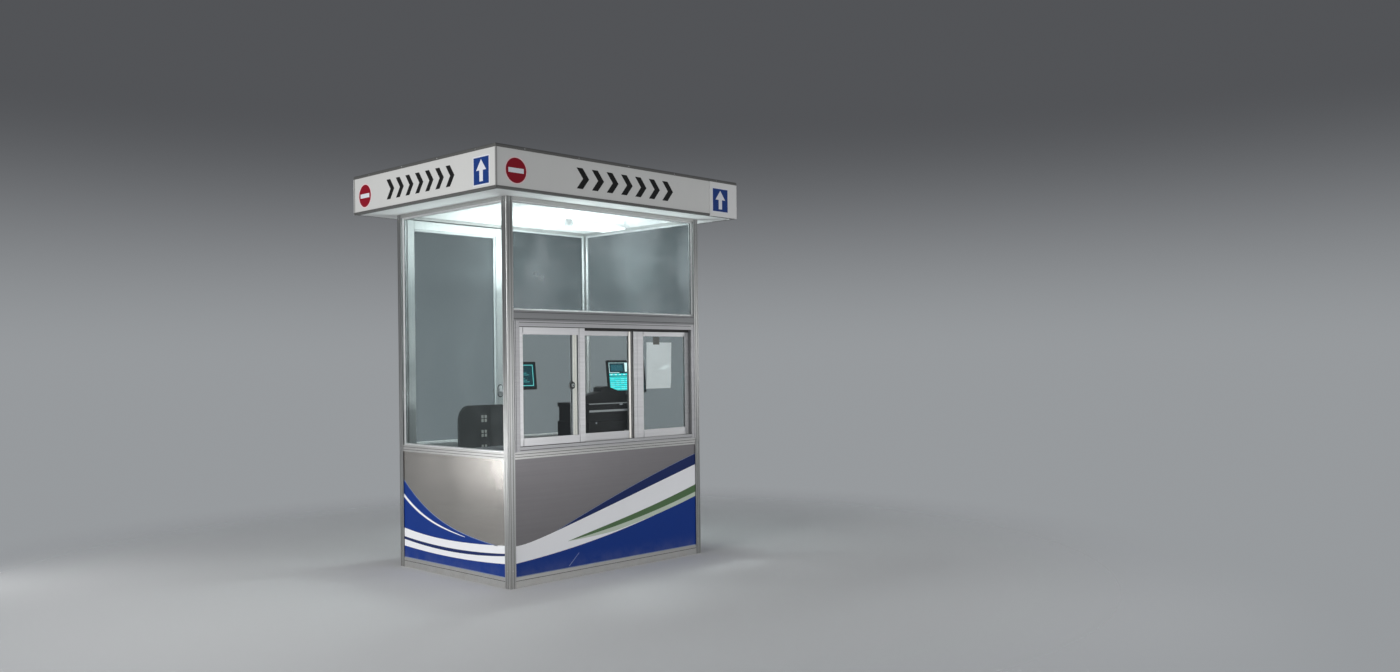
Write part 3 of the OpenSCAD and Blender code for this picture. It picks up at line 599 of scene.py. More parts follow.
# The wide picture. A share runs from 0 at its left end to 1 at its right end
WIDE = front.wide - 2 * POST
CREST_START = 0.207
BLADE_START = 0.259
WAVE_BEND = 0.08


def share(along):
    return (along - POST) / WIDE


def wave_low(along):
    """The lower edge of the white wave."""
    return 0.138 + 0.0905 * share(along) + 0.163 * share(along) ** 2


def wave_top(along):
    """Its upper edge."""
    return 0.236 + 0.385 * (math.hypot(share(along), WAVE_BEND) - WAVE_BEND)


def crest_top(along):
    """The upper edge of the dark crest on the wave."""
    rest = max(0.0, share(along) - CREST_START)
    return wave_top(along) + 0.175 * rest - 0.110 * rest ** 2


def blade_low(along):
    """The lower edge of the green blade in the wave."""
    rest = max(0.0, share(along) - BLADE_START)
    return wave_low(along) + 0.046 - 0.036 * rest


def blade_top(along):
    """Its upper edge."""
    rest = max(0.0, share(along) - BLADE_START)
    return blade_low(along) + 0.170 * rest / (1 + 2.2 * rest)


def shadow_low(along):
    """The lower edge of the pale stripe under the blade."""
    rest = max(0.0, share(along) - BLADE_START)
    return blade_low(along) - 0.028 * min(1.0, rest / 0.25)


def narrow_picture(piece, side, reach, base, low):
    """The short sides' picture: a swoosh that falls from the left, over two stripes."""
    a, b = reach
    bands = [
        ("vinyl_blue", upper_stripe[1], swoosh_top, (a, SWOOSH_END)),
        ("vinyl_pale_blue", swoosh_top, raised(swoosh_top, PALE_EDGE), (a, SWOOSH_END + PALE_PAST_END)),
        ("vinyl_white", *upper_stripe, (a, b)),
        ("vinyl_navy", lower_stripe[1], upper_stripe[0], (a, b)),
        ("vinyl_white", *lower_stripe, (a, b)),
        ("vinyl_blue", level(low + PALE_EDGE), lower_stripe[0], (a, b)),
        ("vinyl_pale_blue", level(low), level(low + PALE_EDGE), (a, b)),
    ]
    for finish, bottom, top, ends in bands:
        piece.use(finish).band(side, (bottom, top), ends, base)
    white_line = (white_line_low, white_line_top)
    piece.use("vinyl_white").band(side, white_line, (a, WHITE_LINE_END), base + FILM)


def wide_picture(piece, side, reach, base, low):
    """The long sides' picture or a stretch of it: a white wave on a blue field, under a dark crest."""
    a, b = reach
    crest_from = max(a, POST + CREST_START * WIDE)
    blade_from = max(a, POST + BLADE_START * WIDE)
    bands = [
        ("vinyl_blue", level(low + PALE_EDGE), wave_low, a, 0.0),
        ("vinyl_pale_blue", level(low), level(low + PALE_EDGE), a, 0.0),
        ("vinyl_white", wave_low, wave_top, a, 0.0),
        ("vinyl_navy", wave_top, crest_top, crest_from, 0.0),
        ("vinyl_pale_blue", crest_top, raised(crest_top, PALE_EDGE / 2), crest_from, 0.0),
        ("vinyl_pale_green", shadow_low, blade_low, blade_from, FILM),
        ("vinyl_green", blade_low, blade_top, blade_from, FILM),
    ]
    for finish, bottom, top, start, lift in bands:
        piece.use(finish).band(side, (bottom, top), (start, b), base + lift)


# A light scratch in the front's blue field, as (along, up)
SCRATCH = [(0.431, 0.071), (0.436, 0.070), (0.513, 0.139), (0.510, 0.141)]

for name in SIDES:
    side = walls[name]
    along, out, up = side.span(*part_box("panel_" + name))
    picture = wide_picture if name in ("front", "back") else narrow_picture
    piece = Piece("vinyl_" + name)
    picture(piece, side, along, out[1], up[0])
    if name == "front":
        piece.use("vinyl_pale_blue").plate(side, SCRATCH, out[1] + FILM, FILM)
    piece.done("vinyl_blue")

along, out, up = back.span(*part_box("door_panel"))
piece = Piece("vinyl_door", "door")
wide_picture(piece, back, along, out[1], up[0])
piece.done("vinyl_blue")


# Thin snap-in beads round the lower panels
PANEL_BEAD = 0.005
PANEL_BEAD_PROUD = 0.003
for name in SIDES:
    along, out, up = walls[name].span(*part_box("panel_" + name))
    piece = Piece("panel_bead_" + name).use("window")
    piece.ring(walls[name], along, up, PANEL_BEAD, out[1], PANEL_BEAD_PROUD)
    piece.done("window_aluminium")
along, out, up = back.span(*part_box("door_panel"))
piece = Piece("panel_bead_door", "door").use("window")
for base, thick in ((out[1], PANEL_BEAD_PROUD), (out[0], -PANEL_BEAD_PROUD)):
    piece.ring(back, along, up, PANEL_BEAD, base, thick)
piece.done("window_aluminium")


# Dark lines on the floors of the bars' flutes, painted shade for the shadow in them: their width, and the
# places of the flutes
FLUTE = 0.003
FLUTE_FLOOR = -0.0014
RAIL_FACE = -0.002
POST_FLUTES = (0.0135, 0.0315)
BASE_FLUTE = 0.0396
SILL_FLUTES = (0.737, 0.753)
TRANSOM_FLUTES = (1.522, 1.558)
FRAME_FLUTE = 0.009
FRAME_BAR = 0.0345
jamb_end = far.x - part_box("door_jamb")[1].x
window = front.span(*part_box("window_frame"))


def upright_shade_line(piece, side, along, up, face=0.0):
    """A dark line of painted shade up a flute, the bar's face being at the given distance out."""
    piece.slab(side, (along - FLUTE / 2, along + FLUTE / 2), up, face + FLUTE_FLOOR, FILM)


def level_shade_line(piece, side, along, up, face=RAIL_FACE):
    """A dark line of painted shade along a flute."""
    piece.slab(side, along, (up - FLUTE / 2, up + FLUTE / 2), face + FLUTE_FLOOR, FILM)


for name, side in walls.items():
    piece = Piece("flute_shade_lines_" + name).use("rubber_and_shade")
    for flute in POST_FLUTES:
        upright_shade_line(piece, side, flute, (0.0, far.z))
        upright_shade_line(piece, side, side.wide - flute, (0.0, far.z))
    reach = (POST, side.wide - POST)
    level_shade_line(piece, side, reach, BASE_FLUTE)
    for up in SILL_FLUTES:
        level_shade_line(piece, side, (POST, jamb_end) if name == "back" else reach, up)
    if name == "front":
        for up in TRANSOM_FLUTES:
            level_shade_line(piece, side, reach, up)
        along, out, up = window
        for place in (along[0] + FRAME_FLUTE, along[1] - FRAME_FLUTE):
            upright_shade_line(piece, side, place, up, out[1])
        for height in (up[0] + FRAME_FLUTE, up[1] - FRAME_FLUTE):
            level_shade_line(piece, side, (along[0] + FRAME_BAR, along[1] - FRAME_BAR), height, out[1])
    piece.done("rubber_gasket")


# Signs on the fascia boards: a no-entry disc, a row of chevrons, and a blue square with an arrow
DISC_Z = 2.317
DISC_R = 0.069
DISC_EDGE = 0.006
BAR_LENGTH = 0.104
BAR_HEIGHT = 0.026
CHEVRONS = 7
CHEVRON_LOW = 2.266
CHEVRON_HIGH = 2.386
SQUARE_LOW = 2.237
SQUARE_HIGH = 2.398
SQUARE_EDGE = 0.007
CIRCLE_STEPS = 48


def disc(middle, radius):
    """The outline of a disc at the discs' height."""
    angles = [2 * math.pi * i / CIRCLE_STEPS for i in range(CIRCLE_STEPS)]
    return [(middle + radius * math.cos(a), DISC_Z + radius * math.sin(a)) for a in angles]


def sign_disc(name, side, middle):
    """A red disc with a pale edge and a white bar."""
    piece = Piece("sign_disc_" + name)
    piece.use("sign_pink").plate(side, disc(middle, DISC_R + DISC_EDGE), 0.0, FILM)
    piece.use("sign_red").plate(side, disc(middle, DISC_R), FILM, FILM)
    reach = (middle - BAR_LENGTH / 2, middle + BAR_LENGTH / 2)
    heights = (DISC_Z - BAR_HEIGHT / 2, DISC_Z + BAR_HEIGHT / 2)
    piece.use("sign_white").slab(side, reach, heights, 2 * FILM, FILM)
    piece.done("sign_red")


def sign_chevrons(name, side, start, end):
    """Bold chevrons that point to the right."""
    piece = Piece("sign_chevrons_" + name).use("sign_black")
    pitch = (end - start) / CHEVRONS
    stroke = 0.40 * pitch
    reach = 0.42 * pitch
    gap = 0.06 * pitch
    middle = (CHEVRON_LOW + CHEVRON_HIGH) / 2
    for i in range(CHEVRONS):
        left = start + i * pitch + gap
        outline = [
            (left, CHEVRON_LOW), (left + stroke, CHEVRON_LOW), (left + stroke + reach, middle),
            (left + stroke, CHEVRON_HIGH), (left, CHEVRON_HIGH), (left + reach, middle),
        ]
        piece.plate(side, outline, 0.0, FILM)
    piece.done("sign_black")


def sign_square(name, side, start, end, base):
    """A blue square with a white edge and a white arrow that points up."""
    piece = Piece("sign_square_" + name)
    piece.use("sign_white").slab(side, (start, end), (SQUARE_LOW, SQUARE_HIGH), base, FILM)
    reach = (start + SQUARE_EDGE, end - SQUARE_EDGE)
    heights = (SQUARE_LOW + SQUARE_EDGE, SQUARE_HIGH - SQUARE_EDGE)
    piece.use("sign_blue").slab(side, reach, heights, base + FILM, FILM)
    middle = (start + end) / 2
    foot = SQUARE_LOW + 0.022
    neck = SQUARE_HIGH - 0.078
    tip = SQUARE_HIGH - 0.018
    half = 0.016
    head = 0.046
    arrow = [
        (middle - half, foot), (middle + half, foot), (middle + half, neck), (middle + head, neck),
        (middle, tip), (middle - head, neck), (middle - half, neck),
    ]
    piece.use("sign_white").plate(side, arrow, base + 2 * FILM, FILM)
    piece.done("vinyl_blue")


# Places along the canopy: the disc, the row of chevrons from and to, and the square from and to
LONG_SIGNS = (0.136, 0.558, 1.360, 1.701, 1.857)
SHORT_SIGNS = (0.132, 0.378, 1.112, 1.277, 1.430)
sign_places = {"front": LONG_SIGNS, "left": SHORT_SIGNS, "back": LONG_SIGNS, "right": SHORT_SIGNS}

# On the long sides the square is on a lighter sheet with an edge, over the canopy's right end
SHEET_START = 1.679
SHEET_EDGE = 0.005
SHEET_EDGE_PROUD = 0.0008
SIGN_SHEET = 0.001
TOP_TRIM = 0.018
trim_low, trim_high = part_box("fascia_trims")
trim_proud = fascia_low.x - trim_low.x
for name, places in sign_places.items():
    side = canopy[name]
    middle, first, last, start, end = (place - trim_proud for place in places)
    sign_disc(name, side, middle)
    sign_chevrons(name, side, first, last)
    lift = 0.0
    if name in ("front", "back"):
        lift = trim_proud + SIGN_SHEET
        reach = (SHEET_START - trim_proud, trims[name].wide - trim_proud)
        heights = (trim_low.z, trim_high.z - TOP_TRIM)
        piece = Piece("sign_sheet_" + name).use("sign_face")
        piece.slab(side, reach, heights, 0.0, lift)
        piece.use("sign_white").ring(side, reach, heights, SHEET_EDGE, lift, SHEET_EDGE_PROUD)
        piece.done("fascia_white")
    sign_square(name, side, start, end, lift)

# Corner angles of the canopy
LEG = 0.007
LEG_THICK = 0.0012
fascia_z = [corner.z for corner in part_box("fascia_front")]
for name, side in canopy.items():
    piece = Piece("corner_angle_" + name).use("angle")
    piece.slab(side, (0.0, LEG), fascia_z, 0.0, LEG_THICK)
    if name in ("left", "right"):
        piece.slab(side, (side.wide - LEG, side.wide), fascia_z, 0.0, LEG_THICK)
    piece.done("dark_aluminium")


# Rubber gaskets along the glass, on both faces of each pane
GASKET = 0.003
DOOR_GASKET = 0.005
GASKET_PROUD = 0.002


def gasket(name, side, pane, inset, body="booth", wide=GASKET):
    """Dark rings on both faces of a pane, the given inset from its edges."""
    along, out, up = pane
    reach = (along[0] + inset, along[1] - inset)
    heights = (up[0] + inset, up[1] - inset)
    piece = Piece("gasket_" + name, body).use("rubber_and_shade")
    for base, thick in ((out[1], GASKET_PROUD), (out[0], -GASKET_PROUD)):
        piece.ring(side, reach, heights, wide, base, thick)
    piece.done("rubber_gasket")


for name in SIDES:
    gasket(name, walls[name], walls[name].span(*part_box("glass_" + name)), BEAD)
gasket("door", back, back.span(*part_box("door_glass")), BEAD, "door", DOOR_GASKET)

# Rubber seal round the door leaf, on its inner face. Its dark ring is also painted shade, for the gap
# round the leaf
DOOR_SEAL_AND_GAP_SHADE = 0.005
SEAL_PROUD = 0.0008
leaf_along, leaf_out, leaf_up = back.span(*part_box("door_frame"))
piece = Piece("door_seal_and_gap_shade", "door").use("rubber_and_shade")
piece.ring(back, leaf_along, leaf_up, DOOR_SEAL_AND_GAP_SHADE, leaf_out[0], -SEAL_PROUD)
piece.done("rubber_gasket")

# Dark bases under the lock's two oval plates
LOCK_EDGE = 0.006
HALF_TURN_STEPS = 16
(left, right), _, (low, high) = back.span(*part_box("door_lock"))
middle = (left + right) / 2
half = (right - left) / 2
base_r = half + LOCK_EDGE
outline = []
for turn, height in ((0.0, high - half), (math.pi, low + half)):
    for i in range(HALF_TURN_STEPS + 1):
        angle = turn + math.pi * i / HALF_TURN_STEPS
        outline.append((middle + base_r * math.cos(angle), height + base_r * math.sin(angle)))
piece = Piece("lock_base", "door").use("rubber_and_shade")
piece.plate(back, outline, leaf_out[0], -SEAL_PROUD)
piece.plate(back, outline, leaf_out[1], SEAL_PROUD)
piece.done("rubber_gasket")


# Gaskets of the sashes' panes, inside stiles of the given widths at the left and the right
sash_stiles = {
    "left": (SASH_STILE, MEETING_STILE),
    "middle": (SASH_STILE, SASH_STILE),
    "right": (BROAD_STILE, SASH_STILE),
}
sash_panes = {}
for name, (left, right) in sash_stiles.items():
    along, out, up = front.span(*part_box("sash_" + name))
    middle = (out[0] + out[1]) / 2
    faces = (middle - SASH_GLASS / 2, middle + SASH_GLASS / 2)
    pane = (along[0] + left, along[1] - right), faces, (up[0] + SASH_BOTTOM, up[1] - SASH_TOP)
    sash_panes[name] = pane
    gasket("sash_" + name, front, pane, 0.0)

# Brush seals along both upright edges of each sash
SASH_INSET = 0.012
SASH_BRUSH = 0.002
SASH_BRUSH_DEEP = 0.006
for name in sash_stiles:
    along, out, up = front.span(*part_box("sash_" + name))
    heights = (up[0] + SASH_INSET, up[1] - SASH_INSET)
    base = (out[0] + out[1] - SASH_BRUSH_DEEP) / 2
    piece = Piece("sash_fittings_" + name).use("pile_and_shade")
    for start in (along[0] - SASH_BRUSH, along[1]):
        piece.slab(front, (start, start + SASH_BRUSH), heights, base, SASH_BRUSH_DEEP)
    piece.done("black_plastic")

# The window's latch: a dark base and plate ring, a pale cap on its knob and a dark keyhole, drawn as a
# flat dark disc of painted shade
latch_low, latch_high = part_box("window_latch")
foot = ((latch_low.x + latch_high.x) / 2, latch_high.y, (latch_low.z + latch_high.z) / 2)
latch_r = (latch_high.x - latch_low.x) / 2
knob_r = latch_r / 2
latch_rings = [
    ("rubber_and_shade", latch_r + 0.003, 0.0, 0.001),
    ("rubber_and_shade", latch_r * 0.94, 0.004, 0.0058),
    ("lamp", knob_r * 0.96, 0.012, 0.0138),
    ("rubber_and_shade", knob_r * 0.4, 0.013, 0.0144),
]
piece = Piece("latch_rings")
for finish, radius, low, high in latch_rings:
    piece.use(finish).turned(foot, front.out, [(radius, low), (radius, high)])
piece.done("rubber_gasket")

# Brushes of the window frame: round the outer sash, and one over the two inner sashes, made deep as
# painted shade for the shadow under the frame's head
FRAME_SIDE = 0.034
FRAME_BOTTOM = 0.028
FRAME_TOP = 0.032
BRUSH = 0.004
BRUSH_BASE = -0.001
BRUSH_THICK = 0.0015
INNER_GAP = 0.001
INNER_BRUSH_AND_SHADE = 0.018
INNER_BASE = -0.0235
INNER_THICK = 0.001
sash_end = front.span(*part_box("sash_left"))[0][1]
start = window[0][0] + FRAME_SIDE
low = window[2][0] + FRAME_BOTTOM
high = window[2][1] - FRAME_TOP
piece = Piece("frame_brushes_and_shade").use("pile_and_shade")
piece.slab(front, (start, start + BRUSH), (low, high), BRUSH_BASE, BRUSH_THICK)
for heights in ((low, low + BRUSH), (high - BRUSH, high)):
    piece.slab(front, (start + BRUSH, sash_end), heights, BRUSH_BASE, BRUSH_THICK)
reach = (sash_end + INNER_GAP, window[0][1] - FRAME_SIDE)
piece.slab(front, reach, (high - INNER_BRUSH_AND_SHADE, high), INNER_BASE, INNER_THICK)
piece.done("black_plastic")

# Pale interlock strips on the middle sash's stiles: three on the left one and one on the right one. They
# glow: painted light, for the light on these stiles
INTERLOCK_PROUD = 0.003
(left, right), out, up = front.span(*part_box("sash_middle"))
interlocks = [
    (left + 0.002, left + 0.015),
    (left + 0.019, left + 0.026),
    (left + 0.030, left + 0.038),
    (right - 0.038, right - 0.028),
]
piece = Piece("sash_interlock").use("interlock")
for reach in interlocks:
    piece.slab(front, reach, (up[0] + SASH_INSET, up[1] - SASH_INSET), out[1], INTERLOCK_PROUD)
piece.done("window_aluminium")


# Screw heads: their radii, and where they stand
BAR_SCREW = 0.0035
TRIM_SCREW = 0.003
HINGE_SCREW = 0.004
POST_SCREW_HEIGHTS = (0.10, 0.745, 2.185)
WINDOW_SCREW_SIDE = 0.022
WINDOW_SCREW_END = 0.018
TRIM_PITCH = 0.38
HINGE_HEIGHTS = (0.225, 1.125, 2.025)
HINGE_STEP = 0.035
HINGE_PIN = 0.0025
HINGE_SHIFT = 0.025
HINGE_LEAF = 0.003


def screw(piece, place, axis, radius):
    """A pan head with a dark socket, drawn as a flat dark disc of painted shade in its recess."""
    height = radius * 0.55
    head = [(radius, 0.0), (radius * 0.94, height * 0.6), (radius * 0.6, height)]
    socket = [(radius * 0.38, 0.0), (radius * 0.3, 0.0002)]
    piece.use("hinge").turned(place, axis, head, 12)
    piece.use("rubber_and_shade").turned(place + axis * height, axis, socket, 4)


def screws(name, side, places, base, radius, body="booth"):
    """Screw heads at (along, up) on a side."""
    piece = Piece("screws_" + name, body)
    for along, up in places:
        screw(piece, side.at(along, base, up), side.out, radius)
    piece.done("hinge_steel")


for name, side in walls.items():
    ends = (0.5 * POST, side.wide - 0.5 * POST)
    screws("posts_" + name, side, product(ends, POST_SCREW_HEIGHTS), 0.0, BAR_SCREW)
along, out, up = window
ends = (along[0] + WINDOW_SCREW_SIDE, along[1] - WINDOW_SCREW_SIDE)
heights = (up[0] + WINDOW_SCREW_END, (up[0] + up[1]) / 2, up[1] - WINDOW_SCREW_END)
screws("window", front, product(ends, heights), out[1], BAR_SCREW)
for name, side in trims.items():
    count = round(side.wide / TRIM_PITCH)
    places = [(side.wide * (i + 0.5) / count, trim_high.z - TOP_TRIM / 2) for i in range(count)]
    screws("trim_" + name, side, places, 0.0, TRIM_SCREW)
pin = back.wide - POST - HINGE_PIN
heights = [middle + step for middle in HINGE_HEIGHTS for step in (-HINGE_STEP, 0.0, HINGE_STEP)]
screws("post_hinges", back, product([pin + HINGE_SHIFT], heights), HINGE_LEAF, HINGE_SCREW)
screws("door_hinges", back, product([pin - HINGE_SHIFT], heights), HINGE_LEAF, HINGE_SCREW, "door")


# A blank sheet taped behind the right sash's glass. It glows a little: painted light, for the room's light
# coming through it
SHEET_ALONG = (1.115, 1.338)
SHEET_UP = (1.099, 1.394)
SHEET_GAP = 0.0006
SHEET_THICK = 0.0003
TAPE_ALONG = (1.172, 1.229)
TAPE_UP = (1.380, 1.430)
TAPE_GAP = 0.0002
TAPE_THICK = 0.0002


def curled_sheet(piece, side, along, up, base):
    """A thin sheet that leans away from the glass towards its lower edge."""
    solid = bmesh.new()
    bmesh.ops.create_grid(solid, x_segments=4, y_segments=12, size=0.5)
    for vert in solid.verts:
        across = vert.co.x + 0.5
        down = 0.5 - vert.co.y
        out = base - 0.010 * down ** 2 - 0.004 * math.sin(down * 6.0) * down - 0.003 * down * across
        vert.co = side.at(along[0] + (along[1] - along[0]) * across, out, up[1] - (up[1] - up[0]) * down)
    bmesh.ops.solidify(solid, geom=solid.faces[:], thickness=SHEET_THICK)
    piece.keep(solid)


pane_back = sash_panes["right"][1][0]
piece = Piece("paper_sheet").use("paper")
curled_sheet(piece, front, SHEET_ALONG, SHEET_UP, pane_back - SHEET_GAP)
piece.done("paper_white")
piece = Piece("sheet_tape").use("tape")
piece.slab(front, TAPE_ALONG, TAPE_UP, pane_back - TAPE_GAP, -TAPE_THICK)
piece.done("bracket_steel")


# What the screens show: plain blocks and rows of light
SCREEN_TILT = math.radians(6.0)
BEZEL = 0.012
CHIN = 0.016
SCREEN_FACE = 0.026
counter_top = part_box("counter")[1].z

# How many films lie under each finish, so that no two faces share a plane
FILMS_UNDER = {"lit_dark": 0, "lit_teal": 1, "lit_dim": 1, "lit_deep": 2, "lit_pale": 3, "lit_white": 3}


def display(name, blocks, middle, wide, high, lift, depth):
    """Blocks on a screen that leans back, each a finish and its share of the face along and up."""
    pivot = Vector((near.x + middle, near.y + depth, counter_top + lift + high / 2))
    side = Side(pivot, rise=(0.0, math.sin(SCREEN_TILT), math.cos(SCREEN_TILT)))
    side.origin = side.at(BEZEL - wide / 2, SCREEN_FACE, CHIN - high / 2)
    wide = wide - 2 * BEZEL
    high = high - BEZEL - CHIN
    piece = Piece(name)
    for finish, (a, b), (c, d) in blocks:
        base = FILM * FILMS_UNDER[finish]
        piece.use(finish).slab(side, (a * wide, b * wide), (c * high, d * high), base, FILM)
    piece.done("screen_face")


def row(start, size, pitch, count):
    """Equal stretches at an even pitch, each as its two ends."""
    return [(start + pitch * i, start + size + pitch * i) for i in range(count)]


large = [
    ("lit_dark", (0, 1), (0, 1)),
    ("lit_teal", (0.02, 0.88), (0.02, 0.50)),
    ("lit_teal", (0.02, 0.88), (0.53, 0.60)),
    ("lit_white", (0.02, 0.30), (0.625, 0.645)),
    ("lit_white", (0.46, 0.57), (0.66, 0.96)),
    ("lit_white", (0.02, 0.88), (0.965, 0.975)),
    ("lit_white", (0.02, 0.03), (0.64, 0.96)),
    ("lit_deep", (0.08, 0.40), (0.70, 0.90)),
    ("lit_deep", (0.62, 0.86), (0.70, 0.90)),
]
large += [("lit_deep", (0.02, 0.88), line) for line in row(0.036, 0.010, 0.07, 7)]
columns = enumerate(row(0.05, 0.09, 0.14, 6))
lines = enumerate(row(0.05, 0.03, 0.07, 6))
for (i, column), (j, line) in product(columns, lines):
    if (i * 5 + j * 3) % 4:
        large.append(("lit_pale", column, line))
large += [("lit_white", column, (0.55, 0.58)) for column in row(0.05, 0.05, 0.12, 7)]
small = [
    ("lit_dark", (0, 1), (0, 1)),
    ("lit_pale", (0.04, 0.94), (0.05, 0.07)),
    ("lit_pale", (0.04, 0.94), (0.93, 0.95)),
    ("lit_pale", (0.93, 0.945), (0.05, 0.95)),
]
for j, line in enumerate(row(0.13, 0.035, 0.075, 7)):
    small.append(("lit_dim", (0.10, 0.52 + 0.09 * ((j * 3) % 4)), line))
display("display_large", large, middle=1.268, wide=0.340, high=0.220, lift=0.296, depth=0.420)
display("display_small", small, middle=0.366, wide=0.220, high=0.170, lift=0.340, depth=0.380)


# The printer's light strips, painted highlights along its lid edge and its body's top edge, its buttons
# and its paper tray: ends along and up, and thickness
printer_low, printer_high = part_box("printer")
side = Side(printer_low)
wide = printer_high.x - printer_low.x
printer_parts = [
    ("highlight_part", (0.012, wide - 0.012), (0.247, 0.252), 0.0015),
    ("highlight_part", (0.012, wide - 0.120), (0.199, 0.211), 0.003),
    ("grey_part", (0.010, wide - 0.010), (0.060, 0.062), 0.001),
    ("sign_white", (0.262, 0.286), (0.238, 0.245), 0.002),
    ("sign_white", (0.300, 0.330), (0.074, 0.080), 0.002),
    ("rubber_and_shade", (0.070, wide - 0.070), (0.095, 0.098), 0.001),
]
piece = Piece("printer_trim")
for finish, reach, heights, thick in printer_parts:
    piece.use(finish).slab(side, reach, heights, 0.0, thick)
piece.use("sign_white").turned(side.at(0.068, 0.0, 0.132), side.out, [(0.006, 0.0), (0.005, 0.003)], 16)
piece.done("black_plastic")

# Pale mesh in the three vents of the chair's back, from the top one down. It glows: painted light, for the
# light coming through the vents
VENT = 0.044
VENT_PITCH = 0.093
VENT_DOWN = 0.085
VENT_FACE = 0.012
MESH_THICK = 0.001
chair_low, chair_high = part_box("chair_shell")
side = Side(((chair_low.x + chair_high.x) / 2, chair_high.y, chair_high.z - VENT_DOWN))
piece = Piece("chair_vent_mesh").use("mesh")
for i in range(3):
    middle = -VENT_PITCH * i
    piece.slab(side, (-VENT / 2, VENT / 2), (middle - VENT / 2, middle + VENT / 2), VENT_FACE, MESH_THICK)
piece.done("black_plastic")

# Globe lamp: its opal ball and its ceiling plate, which stand for the plain one
GLOBE_STEPS = 40
globe_low, globe_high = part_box("globe_lamp")
globe_mid = (globe_low + globe_high) / 2
globe_r = (globe_high.x - globe_low.x) / 2
angles = [math.radians(angle) for angle in range(-80, 60, 10)]
ball = [(globe_r * math.cos(angle), globe_r * math.sin(angle)) for angle in angles]
plate = [(globe_r, 0.0), (globe_r, 0.004), (globe_r * 0.85, 0.014), (globe_r * 0.70, 0.015)]
piece = Piece("lamp_globe").use("globe")
centre = (globe_mid.x, globe_mid.y, globe_low.z + globe_r)
piece.turned(centre, UP, [(0.001, -globe_r), *ball], GLOBE_STEPS)
piece.use("lamp").turned((globe_mid.x, globe_mid.y, globe_high.z), -UP, plate, GLOBE_STEPS)
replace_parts(piece.done("lamp_globe"), "globe_lamp")

# The ceiling lamp's housing round its lit cover: front, back, left and right bar, each a little proud
RIM = 0.012
RIM_HIGH = 0.018
RIM_PROUD = 0.001
lamp_low, lamp_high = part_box("ceiling_lamp")
(x0, y0), (x1, y1) = lamp_low.xy, lamp_high.xy
rim_bars = [
    ((x0, y0), (x1, y0 + RIM)),
    ((x0, y1 - RIM), (x1, y1)),
    ((x0, y0 + RIM), (x0 + RIM, y1 - RIM)),
    ((x1 - RIM, y0 + RIM), (x1, y1 - RIM)),
]
piece = Piece("lamp_rim").use("lamp")
for (left, near_end), (right, far_end) in rim_bars:
    low = (left - RIM_PROUD, near_end - RIM_PROUD, lamp_high.z - RIM_HIGH - RIM_PROUD)
    piece.box(low, (right + RIM_PROUD, far_end + RIM_PROUD, lamp_high.z))
piece.done("lamp_housing")

# Sealant along the roof sheet's edges, and one lap joint across it. The roof falls to the door side
FALL_SHARE = 0.3
LAP = 0.060
LAP_THICK = 0.002
SEAL = 0.008
SEAL_THICK = 0.004
roof_low, roof_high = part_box("roof_board")
roof_mid = (roof_low + roof_high) / 2
roof_wide, roof_deep, roof_thick = roof_high - roof_low
fall = FALL_SHARE * roof_thick
slant = math.hypot(fall, roof_deep)
roof_top = Matrix.Translation((roof_mid.x, roof_mid.y, roof_high.z - fall / 2))
roof_top = roof_top @ Matrix.Rotation(-math.atan2(fall, roof_deep), 4, "X")


def roof_strip(piece, x, y, wide, deep, thick):
    """A flat strip on the falling roof, about a point of its plane."""
    piece.block(roof_top @ Matrix.Translation((x, y, thick / 2)), (wide, deep, thick), thick * 0.3)


piece = Piece("roof_lap").use("roof")
roof_strip(piece, 0.0, 0.0, LAP, slant, LAP_THICK)
piece.done("roof_sheet")
piece = Piece("roof_sealant").use("sealant")
for end in (-1, 1):
    roof_strip(piece, 0.0, end * (slant - SEAL) / 2, roof_wide, SEAL, SEAL_THICK)
    roof_strip(piece, end * (roof_wide - SEAL) / 2, 0.0, SEAL, slant - 2 * SEAL, SEAL_THICK)
piece.done("rubber_gasket")


# The camera: where it stood, how it was turned, and its lens, from the photograph's straight edges
CAMERA_PLACE = (-4.494, -5.570, 1.258)
CAMERA_TURN = math.radians(-46.563)
CAMERA_ROLL = math.radians(-0.618)
scene = bpy.context.scene
camera = bpy.data.cameras.new("camera")
camera.sensor_width = 36.0
camera.lens = 28.26
camera.shift_y = 0.0194
holder = bpy.data.objects.new("camera", camera)
turn = Matrix.Rotation(CAMERA_TURN, 4, "Z")
tilt = Matrix.Rotation(math.radians(90.0), 4, "X")
roll = Matrix.Rotation(CAMERA_ROLL, 4, "Z")
holder.matrix_world = Matrix.Translation(CAMERA_PLACE) @ turn @ tilt @ roll
scene.collection.objects.link(holder)
scene.camera = holder


def soft_light(name, place, target, size, power, colour=(1.0, 1.0, 1.0), mirrored=True):
    """An area light at a place, facing its target."""
    light = bpy.data.lights.new(name, "AREA")
    light.shape = "RECTANGLE"
    light.size, light.size_y = size
    light.energy = power
    light.color = colour
    made = bpy.data.objects.new(name, light)
    facing = (Vector(target) - Vector(place)).to_track_quat("-Z", "Y")
    made.matrix_world = Matrix.Translation(place) @ facing.to_matrix().to_4x4()
    made.visible_camera = False
    made.visible_glossy = mirrored
    scene.collection.objects.link(made)


# Lights outside: from the left, low in front, from the right, and a glow along the left side
soft_light("key", (-6.4, -0.9, 2.0), target=(0.0, 0.0, 1.3), size=(2.4, 2.2), power=215.0)
soft_light("fill", (1.2, -5.6, 0.8), target=(0.0, 0.0, 0.9), size=(3.0, 1.2), power=70.0)
soft_light("right_fill", (7.0, -4.8, 1.5), target=(0.2, 0.0, 0.9), size=(2.0, 1.6), power=50.0)
soft_light("side_glow", (-3.3, 2.32, 0.50), target=(-0.9, -0.6, 0.5), size=(0.2, 0.6), power=15.0)

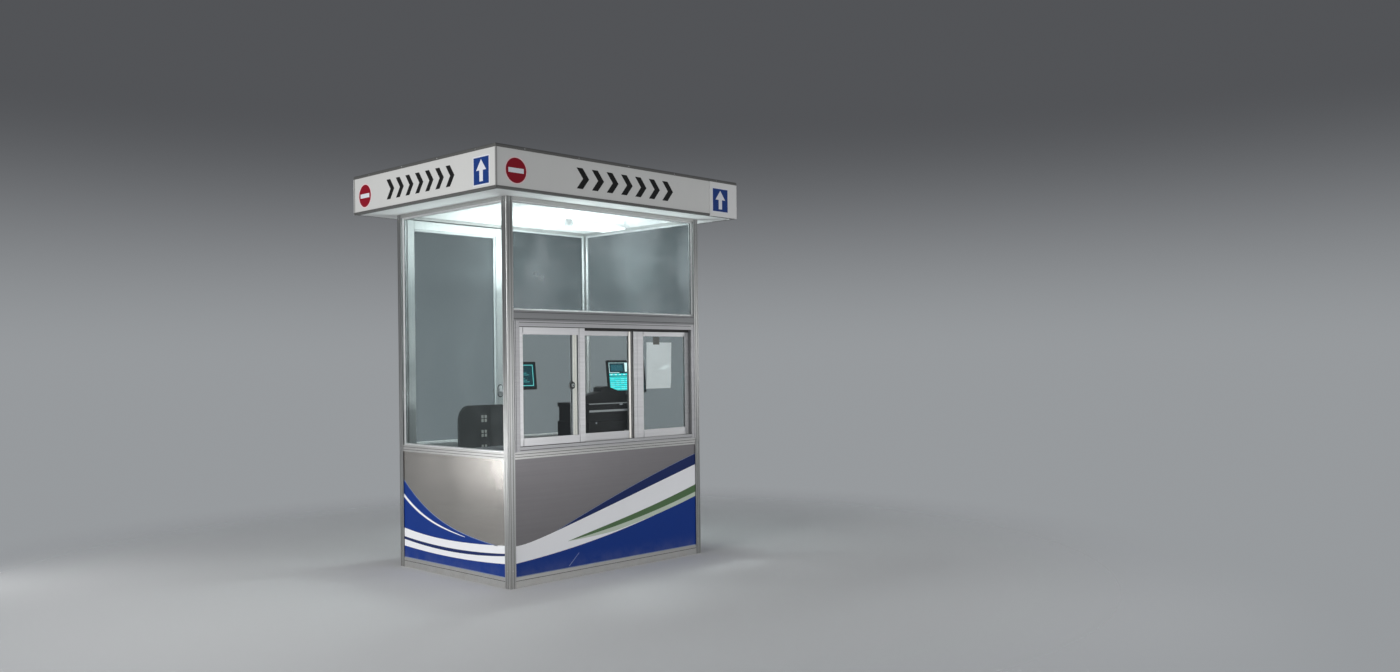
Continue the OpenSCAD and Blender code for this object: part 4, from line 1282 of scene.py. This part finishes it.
# Lights inside: down from the ceiling lamp, and up to the ceiling
COOL = (0.96, 1.0, 0.99)
LAMP_GAP = 0.02
lamp_mid = (lamp_low + lamp_high) / 2
soft_light("room_down", (lamp_mid.x, lamp_mid.y, lamp_low.z - LAMP_GAP),
           target=(lamp_mid.x, lamp_mid.y, 0.0), size=(0.5, 0.25), power=14.0, colour=COOL, mirrored=False)
soft_light("room_up", (0.1, 0.0, 1.75), target=(0.1, 0.0, 3.0),
           size=(1.0, 0.7), power=31.0, colour=COOL, mirrored=False)

# The sky: what lights the booth, and a dark backdrop for what is seen, mirrored or looked through
HORIZON = rgb(0.31, 0.325, 0.34)
OVERHEAD = rgb(0.085, 0.088, 0.095)
HORIZON_BAND = 0.22
world = bpy.data.worlds.new("studio")
scene.world = world
world.use_nodes = True
tree = world.node_tree
tree.nodes.clear()
rays = Wire(tree, None).node("LightPath")
seen = rays.other("Is Camera Ray") + rays.other("Is Glossy Ray") + rays.other("Is Transmission Ray")
lit = rays.node("Background", None, {"Color": rgb(0.90, 0.94, 1.0), "Strength": 0.20})
tone = rays.node("TexCoord", out="Generated").axis("Z").fade(0.0, HORIZON_BAND).mix(HORIZON, OVERHEAD)
backdrop = rays.node("Background", None, {"Color": tone, "Strength": 1.0})
shown = rays.node("MixShader", None, {0: seen, 1: lit, 2: backdrop})
output = tree.nodes.new("ShaderNodeOutputWorld")
tree.links.new(shown.socket, output.inputs["Surface"])

# The floor, pale under the booth and clear far from it
FLOOR_SIZE = 60.0
FLOOR_CLEAR = (1.5, 4.5)
bpy.ops.mesh.primitive_plane_add(size=FLOOR_SIZE)
floor = bpy.context.object
floor.name = "floor"


def pale_floor(place):
    """A pale floor that gives way to the backdrop far from the booth."""
    across = place.axis("X")
    deep = place.axis("Y")
    far_off = ((across * across + deep * deep) ** 0.5).fade(*FLOOR_CLEAR)
    return principled(place, rgb(0.76, 0.76, 0.76), 0.6, Alpha=1 - far_off)


floor.data.materials.append(material("floor_pale", pale_floor))

scene.view_settings.view_transform = "Standard"
